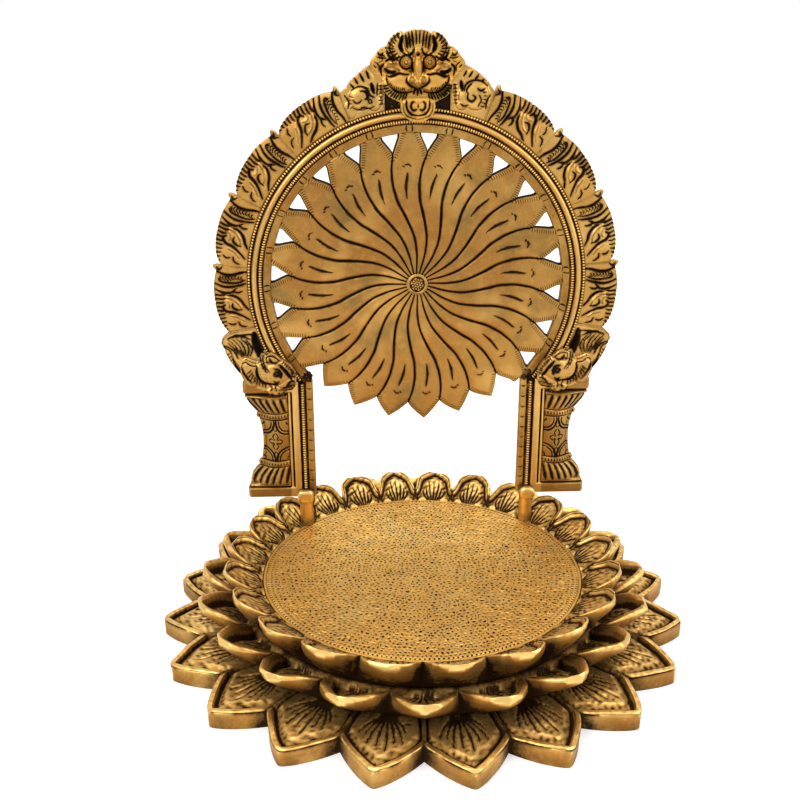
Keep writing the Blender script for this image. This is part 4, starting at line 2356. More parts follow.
@dataclass
class Pillar:
    """A half pillar: plinths, fluted base and capital, collars and a carved shaft.

    Attributes:
        inner: Its inner edge.
        foot: Height of its foot.
        head: Height of its head.
        back: Where its back lies.
        levels: Height share, outer edge, depth, roundness and flutes at each level.
        flutes: How many flutes the base and the capital have.
    """

    inner: float = 61.0
    foot: float = POST_FOOT
    head: float = POST_HEAD
    back: float = BACK_PLANE
    levels: tuple[tuple[float, float, float, float, float], ...] = (
        (0.0, 81.5, 5.0, 0, 0), (0.012, 81.6, 5.2, 0, 0), (0.072, 81.6, 5.3, 0, 0),
        (0.08, 81.6, 5.0, 0, 0), (0.084, 80.8, 4.0, 0, 0), (0.096, 80.8, 4.0, 0, 0),
        (0.1, 81.0, 5.4, 0.2, 0), (0.112, 80.8, 5.6, 0.4, 0), (0.122, 80.2, 7.4, 1, 0.2),
        (0.15, 80.4, 7.8, 1, 1), (0.2, 79.6, 7.7, 1, 1), (0.245, 77.6, 7.2, 1, 1),
        (0.268, 76.2, 6.8, 1, 0.3), (0.274, 75.0, 6.0, 1, 0), (0.28, 75.8, 6.7, 1, 0),
        (0.3, 76.2, 7.2, 1, 0), (0.318, 75.8, 6.7, 1, 0), (0.325, 74.6, 5.9, 1, 0),
        (0.345, 74.4, 6.3, 1, 0), (0.43, 73.6, 6.5, 1, 0), (0.52, 73.4, 6.5, 1, 0),
        (0.6, 73.7, 6.5, 1, 0), (0.672, 74.6, 6.3, 1, 0), (0.69, 74.8, 5.9, 1, 0),
        (0.696, 75.8, 6.7, 1, 0), (0.714, 76.2, 7.2, 1, 0), (0.734, 75.8, 6.7, 1, 0),
        (0.74, 75.0, 6.0, 1, 0), (0.748, 76.0, 6.6, 1, 0.3), (0.775, 77.2, 7.2, 1, 1),
        (0.815, 79.0, 7.7, 1, 1), (0.85, 80.2, 7.8, 1, 1), (0.872, 80.2, 7.4, 1, 0.2),
        (0.886, 80.9, 7.0, 0.3, 0), (0.894, 80.8, 5.4, 0.2, 0), (0.898, 80.8, 4.0, 0, 0),
        (0.91, 80.8, 4.0, 0, 0), (0.914, 81.5, 5.0, 0, 0), (0.925, 81.6, 5.3, 0, 0),
        (0.99, 81.6, 5.2, 0, 0), (1.0, 81.5, 5.0, 0, 0),
    )
    flutes: int = 6

    def strokes(self) -> list[Stroke]:
        """The shaft's carving: double arcs at its corners and a four-petal leaf between them.

        Returns:
            Its cuts.
        """
        middle = (self.foot + self.head) / 2
        x = self.inner + 6.2
        made = []
        quarter = np.linspace(-0.15, math.pi / 2 + 0.15, 7)
        for sign in (1.0, -1.0):
            for side in (1.0, -1.0):
                corner = (x + side * 6.3, middle + sign * 9.2)
                for radius, width, depth in ((5.9, 0.5, 0.9), (4.5, 0.36, 0.7), (1.0, 0.36, 0.7)):
                    arc = tuple((corner[0] - side * radius * math.cos(a),
                                 corner[1] - sign * radius * math.sin(a))
                                for a in quarter)
                    made.append(Stroke(arc, width, -depth, 0.8))
                for path in (((0.3, 0.7), (1.3, 2.3), (0.2, 4.4)), ((0.7, 0.4), (2.0, 1.1), (3.3, 0.2)),
                             ((0.2, 5.2), (1.2, 7.0), (0.5, 8.8))):
                    line = tuple((x + side * a, middle + sign * b) for a, b in path)
                    made.append(Stroke(line, 0.36, -0.7))
        return made

    def shell(self) -> Shell:
        """The right pillar.

        Returns:
            The pillar.
        """
        table = np.array(self.levels)
        shares = np.unique(np.concatenate([table[:, 0], np.linspace(0, 1, 150)]))
        outer, depth, round_, flute = (np.interp(shares, table[:, 0], table[:, k]) for k in range(1, 5))
        across = np.linspace(0, 1, 61)
        strokes = self.strokes()
        loops, patina, wear = [], [], []
        for share, edge, deep, bow, cut in zip(shares, outer, depth, round_, flute):
            z = self.foot + (self.head - self.foot) * share
            x = self.inner + (edge - self.inner) * across
            quarter = 0.2 + 0.8 * across
            swell = np.maximum(np.sin(np.pi * quarter), 0.3) ** 0.8
            full = deep * (1 - bow + bow * swell)
            lean = share * 3.4 if share < 0.5 else -share * 3.4
            phase = np.abs(np.sin(np.pi * (across * self.flutes + lean)))
            ditch = (1 - phase**0.55) * cut
            beads = crown(np.abs(share - 0.3) * 100, 1.9) + crown(np.abs(share - 0.714) * 100, 1.9)
            notch = (1 - np.abs(np.sin(np.pi * across * 11)) ** 0.5) * beads
            spots = np.stack([x, np.full(len(x), z)], 1)
            _, carve, dark = carved(spots, strokes)
            front = full - 1.1 * ditch - 0.6 * notch - carve
            front = front * np.minimum(1.0, (1.02 - across) * 14) ** 0.25
            loops.append(np.vstack([
                [self.inner, self.back, z],
                np.stack([x, self.back - front, np.full(len(x), z)], 1),
                [edge, self.back, z],
            ]))
            tone = 0.2 + 0.85 * np.clip(ditch * 1.6, 0, 1) + 0.9 * notch + dark * 0.9
            low = (deep < 6.05) * (abs(share - 0.5) > 0.17) * (abs(share - 0.5) < 0.3) * 0.8
            low += (deep < 4.4) * 0.85
            patina.append(np.concatenate([[0.5], np.clip(tone + low, 0, 1), [0.5]]))
            wear.append(np.concatenate([[0], np.clip(0.6 * phase * cut + 0.1 * (1 - tone), 0, 1), [0]]))
        return outward(swept(loops, patina, wear))

    def build(self, finish: bpy.types.Material) -> None:
        """Makes both pillars.

        Args:
            finish: The metal.
        """
        for side, _, shape in hands(self.shell()):
            pillar = shape.thing(f"half_pillar_{side}")
            weather(pillar, dirt=2.2, rub=1.6)
            settle(pillar, Body.BACK, [f"pillar_{side}"], finish)


@dataclass
class Peg:
    """A peg with the lug by which it is brazed under its jamb.

    Attributes:
        place: How far right and back of the middle it stands.
        radius: Its radius.
        foot: Height of its foot.
        head: Height of its head.
        lug: Half width, depth and half height of the lug.
        lug_middle: Height of the lug's middle.
        lug_back: Where the lug's back lies.
    """

    place: Spot = PEG_PLACE
    radius: float = 3.35
    foot: float = 14.7
    head: float = 37.3
    lug: tuple[float, float, float] = (3.95, 3.1, 3.3)
    lug_middle: float = 38.2
    lug_back: float = 45.1

    def shank(self) -> Shell:
        """The round peg.

        Returns:
            The peg, in its place on the right.
        """
        r = self.radius
        profile = [
            (0.0, self.foot, 0.3, 0), (r - 0.9, self.foot, 0.3, 0),
            (r - 0.25, self.foot + 0.35, 0.2, 0.3), (r, self.foot + 1.0, 0.15, 0.3), (r, 20.0, 0.3, 0.1),
            (r, 24.0, 0.5, 0.0), (r - 0.1, 27.0, 0.15, 0.3), (r - 0.2, 31.0, 0.08, 0.4),
            (r - 0.1, 34.5, 0.1, 0.4), (r, 36.6, 0.3, 0.2), (r - 0.1, self.head, 0.5, 0),
            (0.0, self.head, 0.5, 0),
        ]
        made = turned(profile, 40)
        made.points += np.array([self.place[0], self.place[1], 0.0])
        return outward(made)

    def knob(self, corners: float) -> Shell:
        """The lug: a flattened block with rounded corners.

        Args:
            corners: How square its outline is; 2 is round.

        Returns:
            The lug, in its place on the right.
        """
        half, deep, tall = self.lug
        facets = 48
        angle = np.linspace(0, 2 * np.pi, facets, endpoint=False)
        c, s = np.cos(angle), np.sin(angle)
        size = (np.abs(c) ** corners + np.abs(s) ** corners) ** (-1 / corners)
        loops, patina, wear = [], [], []
        for out, grown, dark in ((-0.35, 0.9, 0.8), (0.0, 1.0, 0.7), (0.45, 1.0, 0.15), (0.7, 0.96, 0.05),
                                 (0.86, 0.86, 0.0), (0.95, 0.7, 0.0), (1.0, 0.4, 0.05),
                                 (1.0, 0.05, 0.05)):
            x = self.place[0] + half * grown * size * c
            z = self.lug_middle + tall * grown * size * s
            loops.append(np.stack([x, np.full(facets, self.lug_back - deep * out), z], 1))
            patina.append(np.full(facets, dark))
            wear.append(np.full(facets, 0.7 * (1 - dark)))
        return outward(swept(loops, patina, wear))

    def build(self, finish: bpy.types.Material) -> None:
        """Makes both pegs.

        Args:
            finish: The metal.
        """
        for side, corners, sign in (("right", 2.2, 1.0), ("left", 3.6, -1.0)):
            shape = Shell.together([self.shank(), self.knob(corners)])
            shape.points[:, 0] *= sign
            if sign < 0:
                shape.faces = [face[::-1] for face in shape.faces]
            settle(shape.thing(f"peg_{side}_turned"), Body.BACK, [f"peg_{side}"], finish)


# ---------------------------------------------------------------- back: crest and makaras


@dataclass(frozen=True)
class Swell:
    """A smooth rise of a carving within an ellipse.

    Attributes:
        x: Distance of its middle from the carving's upright axis.
        z: Height of its middle.
        wide: Half its width.
        tall: Half its height.
        rise: How far it stands up.
    """

    x: float
    z: float
    wide: float
    tall: float
    rise: float

    def at(self, spots: Array) -> Array:
        """The rise at given spots.

        Args:
            spots: Places as x and z.

        Returns:
            The rise at each of them.
        """
        far = np.hypot((spots[:, 0] - self.x) / self.wide, (spots[:, 1] - self.z) / self.tall)
        return self.rise * np.sqrt(np.clip(1.0 - far**2, 0.0, 1.0))


def cut(width: float, depth: float, *line: Spot) -> Stroke:
    """A cut through given points.

    Args:
        width: Half its width.
        depth: Its depth.
        line: Its points as x and z.

    Returns:
        The stroke.
    """
    return Stroke(line, width, -depth)


def rib(width: float, lift: float, *line: Spot) -> Stroke:
    """A raised line through given points.

    Args:
        width: Half its width.
        lift: How far it stands up.
        line: Its points as x and z.

    Returns:
        The stroke.
    """
    return Stroke(line, width, lift)


def ring_cut(x: float, z: float, radius: float, width: float, depth: float) -> Stroke:
    """A round cut.

    Args:
        x: Its middle, to the right.
        z: Its middle, upwards.
        radius: Its radius.
        width: Half the cut's width.
        depth: The cut's depth.

    Returns:
        The stroke.
    """
    line = tuple((x + radius * math.cos(a), z + radius * math.sin(a))
                 for a in np.linspace(0.0, 6.283, 10))
    return Stroke(line, width, -depth, 1.0)


def rungs(line: Sequence[Spot], count: int, reach: float, width: float, depth: float,
          lean: float = 0.0) -> list[Stroke]:
    """Short cuts across a line, evenly spaced.

    Args:
        line: The line's points as x and z.
        count: How many cuts.
        reach: Half a cut's length.
        width: Half a cut's width.
        depth: A cut's depth.
        lean: How far a cut leans along the line.

    Returns:
        The strokes.
    """
    path = spline(line, 8)
    run = np.concatenate([[0.0], np.cumsum(np.hypot(*np.diff(path, axis=0).T))])
    made = []
    for place in (np.arange(count) + 0.5) / count * run[-1]:
        here = np.array([np.interp(place, run, path[:, k]) for k in (0, 1)])
        there = np.array([np.interp(min(place + 0.3, run[-1]), run, path[:, k]) for k in (0, 1)])
        ahead = (there - here) / max(np.hypot(*(there - here)), 1e-6)
        aside = np.array([-ahead[1], ahead[0]]) + ahead * lean
        made.append(cut(width, depth, tuple(here - aside * reach), tuple(here),
                        tuple(here + aside * reach)))
    return made


def both_sides(strokes: Sequence[Stroke]) -> list[Stroke]:
    """Strokes together with their mirror images.

    Args:
        strokes: The strokes of one side.

    Returns:
        The strokes of both sides.
    """
    return [*strokes, *(stroke.across() for stroke in strokes)]


@dataclass
class CrestMask:
    """The traditional lion mask on top: crown, horns, eyes, beak, cheeks, ears and beard.

    Attributes:
        back: Where its back lies.
        plate: Thickness of its back plate.
        half_edge: Its edge on the left, from the crown down.
        pitch: Spacing of its points.
    """

    back: float = BACK_PLANE
    plate: float = 4.5
    pitch: float = 0.3
    half_edge: tuple[Spot, ...] = (
        (0, 249.3), (-1.6, 249.4), (-3.4, 249.1), (-4.9, 248.6), (-5.7, 247.7), (-6.1, 248.4),
        (-6.9, 248.9), (-8.2, 248.5), (-10.5, 247.1), (-12.1, 245.2), (-13.1, 243.0), (-14.8, 242.7),
        (-16.8, 241.1), (-18.0, 239.3), (-19.5, 237.6), (-20.2, 236.2), (-20.0, 234.7), (-18.8, 233.3),
        (-17.5, 231.9), (-15.9, 230.2), (-14.9, 229.1), (-14.8, 227.2), (-14.0, 224.8), (-11.9, 222.6),
        (-9.2, 221.4), (-7.6, 220.6), (-7.3, 219.3), (0, 219.2),
    )

    def swells(self) -> list[Swell]:
        """The mask's round forms, on the left and in the middle.

        Returns:
            The forms.
        """
        return [
            Swell(-7.1, 229.2, 6.6, 5.2, 3.0), Swell(-9.8, 233.9, 5.2, 2.6, 2.7),
            Swell(0, 233.4, 2.3, 6.2, 3.9), Swell(-2.3, 229.5, 2.1, 1.8, 4.3),
            Swell(0, 227.9, 1.7, 1.9, 4.2), Swell(-4.9, 236.6, 3.6, 3.5, 2.2),
            Swell(-4.9, 236.6, 2.3, 2.3, 4.2), Swell(0, 240.4, 3.0, 2.4, 3.2),
            Swell(0, 245.0, 6.2, 6.5, 2.3), Swell(-9.9, 243.0, 4.2, 6.6, 1.0),
            Swell(-16.2, 236.6, 3.9, 4.2, 0.9), Swell(-12.6, 226.6, 2.6, 4.6, 1.4),
        ]

    def strokes(self) -> list[Stroke]:
        """The carving.

        Returns:
            Its cuts and ridges.
        """
        horn = ((-8.4, 237.4), (-11.0, 240.1), (-11.9, 242.9), (-10.4, 246.0), (-7.8, 248.0))
        beard = ((-13.9, 227.8), (-11.9, 224.6), (-7.8, 222.9), (-4.3, 222.7))
        left = [
            cut(0.5, 1.3, (-4.3, 241.9), (-4.7, 245.1), (-5.1, 247.6)),
            cut(0.45, 1.2, (-3.1, 242.2), (-3.5, 245.6), (-3.9, 248.3)),
            cut(0.45, 1.2, (-1.9, 242.7), (-2.2, 246.0), (-2.6, 248.9)),
            cut(0.4, 1.1, (-0.65, 243.7), (-0.7, 246.4), (-0.9, 249.0)),
            cut(1.0, 2.8, (-6.4, 240.6), (-7.3, 243.0), (-6.4, 247.0)),
            cut(0.6, 1.6, (-6.2, 240.3), (-4.2, 239.4), (-2.3, 240.2), (-1.5, 242.2)),
            cut(0.6, 1.5, (-2.4, 237.8), (-2.4, 235.0), (-1.9, 232.6)),
            cut(0.55, 1.5, (-13.2, 231.3), (-11.3, 230.9), (-9.5, 231.6), (-7.8, 232.2), (-5.1, 231.7),
                (-3.7, 231.8)),
            cut(0.5, 1.5, (-13.3, 231.0), (-12.3, 227.9), (-9.6, 225.5), (-6.0, 224.4), (-2.2, 224.9)),
            cut(0.55, 1.5, (-1.6, 223.6), (-1.3, 225.3), (-0.5, 226.2)),
            cut(0.5, 1.4, (-9.6, 237.6), (-11.9, 237.8), (-13.6, 236.9)),
            cut(0.5, 1.3, (-14.1, 235.8), (-15.5, 234.2), (-15.1, 231.2)),
            cut(0.35, 0.9, (-18.1, 236.9), (-16.3, 235.4), (-16.4, 233.2)),
            cut(0.35, 0.9, (-18.6, 235.6), (-17.3, 234.4)),
            cut(0.5, 1.4, (-13.0, 241.7), (-11.9, 239.0), (-9.6, 238.0)),
            cut(0.42, 1.1, (-16.6, 240.7), (-16.2, 239.7), (-14.9, 239.3), (-14.4, 240.6)),
            cut(0.36, 0.9, (-17.2, 238.8), (-15.5, 238.3), (-13.2, 238.3)),
            ring_cut(-4.9, 236.6, 2.65, 0.42, 1.4), ring_cut(-4.9, 236.6, 0.8, 0.16, 0.3),
            cut(0.55, 1.6, (-4.6, 230.6), (-4.7, 228.9), (-3.1, 227.4), (-1.4, 226.5), (0, 225.9)),
            cut(0.8, 2.0, (-13.9, 234.2), (-11.6, 232.6), (-9.4, 233.0)),
            rib(1.7, 2.3, *horn), rib(1.3, 0.8, (-12.9, 234.8), (-10.2, 234.8), (-7.6, 233.4)),
            rib(0.55, 0.6, (-7.4, 238.9), (-4.8, 239.3), (-2.6, 238.4)),
        ]
        left += rungs(horn, 8, 1.9, 0.48, 1.4, 0.25)
        left += rungs(beard, 10, 1.4, 0.42, 1.2, 0.3)
        left += rungs(((-12.0, 228.2), (-9.4, 226.3), (-5.2, 225.6)), 9, 0.8, 0.26, 0.6, -0.5)
        left += rungs(((-14.2, 240.0), (-15.6, 237.4), (-14.6, 235.0)), 4, 1.0, 0.25, 0.6)
        star = [cut(0.3, 0.8, (0, 238.9), (0.75 * math.cos(a), 240.1 + 0.75 * math.sin(a)))
                for a in np.linspace(0.5, 5.9, 5)]
        return both_sides(left) + star + [cut(0.55, 1.6, (0, 226.3), (0, 224.7), (0, 223.0))]

    def height(self, spots: Array, gap: Array) -> Array:
        """How far the front stands off the back."""
        left = spots.copy()
        left[:, 0] = -np.abs(left[:, 0])
        rise = np.max([form.at(left) for form in self.swells()], axis=0)
        stand = self.plate + rise
        pendant = np.hypot(spots[:, 0] / 7.7, (spots[:, 1] - 217.5) / 5.3) < 1.0
        return np.where(pendant, np.minimum(stand, 6.2), stand)

    def build(self, finish: bpy.types.Material) -> None:
        """Carves the mask.

        Args:
            finish: The metal.
        """
        edge = whole_edge(self.half_edge)
        carving = Relief(edge, self.height, self.strokes(), self.back, self.pitch, rounding=0.6).shell()
        corners = np.array([(-14.6, 218.6), (14.6, 218.6), (14.6, 229.0), (-14.6, 229.0)])
        ground = ground_plate(corners, self.back - 0.4, 2.7, 0.3)
        mask = Shell.together([carving, ground]).thing("lion_mask")
        weather(mask, dirt=1.6, rub=2.6)
        settle(mask, Body.BACK, ["crest_face"], finish)


@dataclass
class Pendant:
    """The double loop that hangs from the mask over the ring.

    Attributes:
        back: Where its back lies.
        half_edge: Its edge on the left, from the top down.
    """

    back: float = 43.9
    half_edge: tuple[Spot, ...] = (
        (0, 222.5), (-4.3, 222.3), (-6.6, 221.4), (-7.4, 219.4), (-7.2, 217.2), (-5.6, 214.7),
        (-2.6, 212.9), (0, 212.5),
    )

    def height(self, spots: Array, gap: Array) -> Array:
        """How far the front stands off the back."""
        heart = Swell(-2.2, 218.9, 2.3, 2.6, 1.0).at(np.stack([-np.abs(spots[:, 0]), spots[:, 1]], 1))
        return 1.9 + heart + 0.5 * crown(gap - 1.5, 1.2)

    def build(self, finish: bpy.types.Material) -> None:
        """Carves the pendant.

        Args:
            finish: The metal.
        """
        strokes = both_sides([
            cut(0.5, 1.2, (-4.9, 221.6), (-4.7, 218.2), (-2.9, 215.9), (0, 215.3)),
            cut(0.45, 1.1, (-2.0, 221.2), (-3.1, 219.4), (-2.2, 217.6), (-0.5, 217.9)),
            cut(0.3, 0.7, (0, 219.9), (0, 218.4)),
            cut(0.22, 0.4, (-6.2, 220.6), (-6.1, 217.4), (-4.2, 214.9), (0, 213.8)),
        ])
        edge = whole_edge(self.half_edge)
        carving = Relief(edge, self.height, strokes, self.back, pitch=0.24, rounding=0.5)
        loop = carving.shell().thing("tongue_pendant")
        weather(loop, dirt=1.5, rub=1.4)
        settle(loop, Body.BACK, ["crest_tongue"], finish)


@dataclass
class ScrollHead:
    """A curled head beside the mask, with striped lobes above it.

    Attributes:
        side: Which side of the mask it is on, as the node's name says.
        back: Where its back lies.
        edge: Its edge above the ring.
        forms: Its round forms.
        carving: Its cuts and ridges.
        ground: How far its ground stands off the back.
        ring_radius: Radius outside which it lies.
        ring_middle: Height of the ring's middle.
    """

    side: str
    edge: tuple[Spot, ...]
    forms: tuple[Swell, ...]
    carving: tuple[Stroke, ...]
    back: float = BACK_PLANE
    ring_radius: float = RING_OUTSIDE
    ring_middle: float = RING_MIDDLE
    ground: float = 4.3

    def height(self, spots: Array, gap: Array) -> Array:
        """How far the front stands off the back."""
        return self.ground + np.max([form.at(spots) for form in self.forms], axis=0)

    def build(self, finish: bpy.types.Material) -> None:
        """Carves the scroll.

        Args:
            finish: The metal.
        """
        edge = np.array(self.edge)
        ends = np.arcsin(edge[[-1, 0], 0] / self.ring_radius)
        arc = np.linspace(ends[0], ends[1], 16)
        foot = np.stack([self.ring_radius * np.sin(arc),
                         self.ring_middle + self.ring_radius * np.cos(arc)], 1)
        scroll = Relief(np.vstack([edge, foot]), self.height, self.carving, self.back,
                        pitch=0.3, rounding=0.6)
        thing = scroll.shell().thing(f"scroll_head_{self.side}")
        weather(thing, dirt=1.6, rub=2.4)
        settle(thing, Body.BACK, [f"crest_scroll_{self.side}"], finish)


def scroll_heads() -> list[ScrollHead]:
    """The two scroll heads, which differ as cast pieces do.

    Returns:
        The left one and the right one.
    """
    left = ScrollHead("left", (
        (-14.1, 217.2), (-14.1, 222.4), (-14.1, 228.7), (-15.3, 230.0), (-16.8, 231.3), (-18.1, 232.5),
        (-19.3, 234.0), (-20.3, 235.6), (-22.6, 234.3), (-25.6, 231.9), (-28.0, 229.9), (-29.6, 227.9),
        (-30.2, 226.4), (-31.2, 226.0), (-33.3, 224.6), (-31.6, 220.4), (-30.2, 216.6), (-28.9, 212.9),
    ), (
        Swell(-23.9, 222.4, 5.6, 5.2, 2.2), Swell(-18.6, 221.0, 3.6, 4.0, 1.7),
        Swell(-24.2, 230.2, 5.6, 3.6, 0.8), Swell(-28.6, 217.4, 3.2, 3.6, 1.0),
    ), (
        cut(0.9, 2.4, (-19.6, 228.4), (-18.6, 224.4)), cut(0.5, 1.6, (-28.4, 227.9), (-26.9, 226.3)),
        cut(0.55, 1.6, (-26.6, 230.2), (-25.2, 228.0)), cut(0.55, 1.6, (-24.4, 232.1), (-22.7, 229.0)),
        cut(0.55, 1.6, (-21.6, 233.4), (-20.5, 229.9)),
        cut(0.45, 1.4, (-28.3, 225.4), (-24.9, 227.0), (-21.7, 226.2), (-20.3, 223.6), (-18.1, 222.5)),
        cut(0.5, 1.5, (-24.4, 225.2), (-22.2, 224.8), (-21.2, 222.6), (-22.6, 221.8)),
        ring_cut(-20.1, 221.0, 0.75, 0.3, 0.8),
        cut(0.42, 1.3, (-27.4, 221.8), (-26.2, 220.4), (-24.6, 220.7), (-23.7, 221.8)),
        cut(0.36, 1.1, (-27.6, 218.4), (-25.0, 217.6), (-23.0, 218.6), (-20.7, 218.1), (-18.1, 219.2)),
        cut(0.42, 1.2, (-17.0, 228.4), (-17.2, 223.2)),
        rib(1.2, 0.8, (-15.7, 227.8), (-15.5, 223.2), (-15.4, 219.8)),
        cut(0.4, 1.1, (-31.2, 223.6), (-29.2, 221.0), (-29.6, 218.0)),
        *rungs(((-15.7, 228.0), (-15.5, 223.0), (-15.4, 219.2)), 6, 1.0, 0.3, 0.7),
        *rungs(((-28.0, 223.6), (-28.6, 220.4), (-27.4, 218.0)), 4, 0.8, 0.26, 0.6),
    ))
    right = ScrollHead("right", (
        (28.9, 212.9), (30.4, 217.0), (31.8, 220.8), (33.3, 224.5), (31.4, 226.7), (30.6, 228.3),
        (29.7, 229.3), (27.5, 231.2), (24.2, 233.7), (20.4, 235.6), (19.3, 234.0), (17.8, 232.2),
        (16.1, 230.8), (14.1, 229.2), (14.1, 222.4), (14.1, 217.2),
    ), (
        Swell(24.9, 223.2, 5.8, 6.2, 2.1), Swell(20.6, 222.6, 3.6, 4.2, 1.9),
        Swell(24.6, 230.6, 5.4, 3.2, 0.8), Swell(19.0, 219.4, 3.0, 2.2, 1.2),
    ), (
        cut(0.5, 1.6, (20.8, 233.2), (19.5, 230.9)), cut(0.55, 1.6, (23.4, 233.0), (21.6, 230.4)),
        cut(0.55, 1.6, (25.9, 231.6), (24.1, 229.4)), cut(0.5, 1.6, (28.2, 229.7), (26.9, 228.7)),
        cut(0.9, 2.4, (18.4, 229.2), (18.9, 225.2)),
        cut(0.45, 1.4, (19.7, 224.9), (20.3, 227.4), (22.8, 229.1), (26.7, 229.1), (29.8, 227.0)),
        cut(0.5, 1.5, (21.4, 224.2), (21.2, 221.8), (23.2, 220.8), (24.6, 222.3), (23.2, 223.4)),
        cut(0.5, 1.4, (25.1, 226.2), (26.7, 225.1), (28.5, 226.0)),
        cut(0.42, 1.2, (18.1, 219.9), (19.9, 218.9), (21.6, 219.4)),
        cut(0.4, 1.2, (23.4, 228.4), (20.9, 225.9), (21.0, 223.8)),
        cut(0.36, 1.1, (25.8, 223.6), (26.9, 221.5), (25.6, 218.6)),
        cut(0.4, 1.1, (31.2, 223.6), (29.4, 221.0), (29.2, 217.6)),
        rib(1.2, 0.8, (15.8, 228.2), (16.0, 224.0), (16.3, 219.8)),
        *rungs(((15.8, 228.4), (16.0, 224.0), (16.3, 219.4)), 6, 1.0, 0.3, 0.7),
        *rungs(((28.3, 225.2), (28.6, 221.6), (27.4, 218.0)), 5, 0.9, 0.28, 0.7),
    ))
    return [left, right]


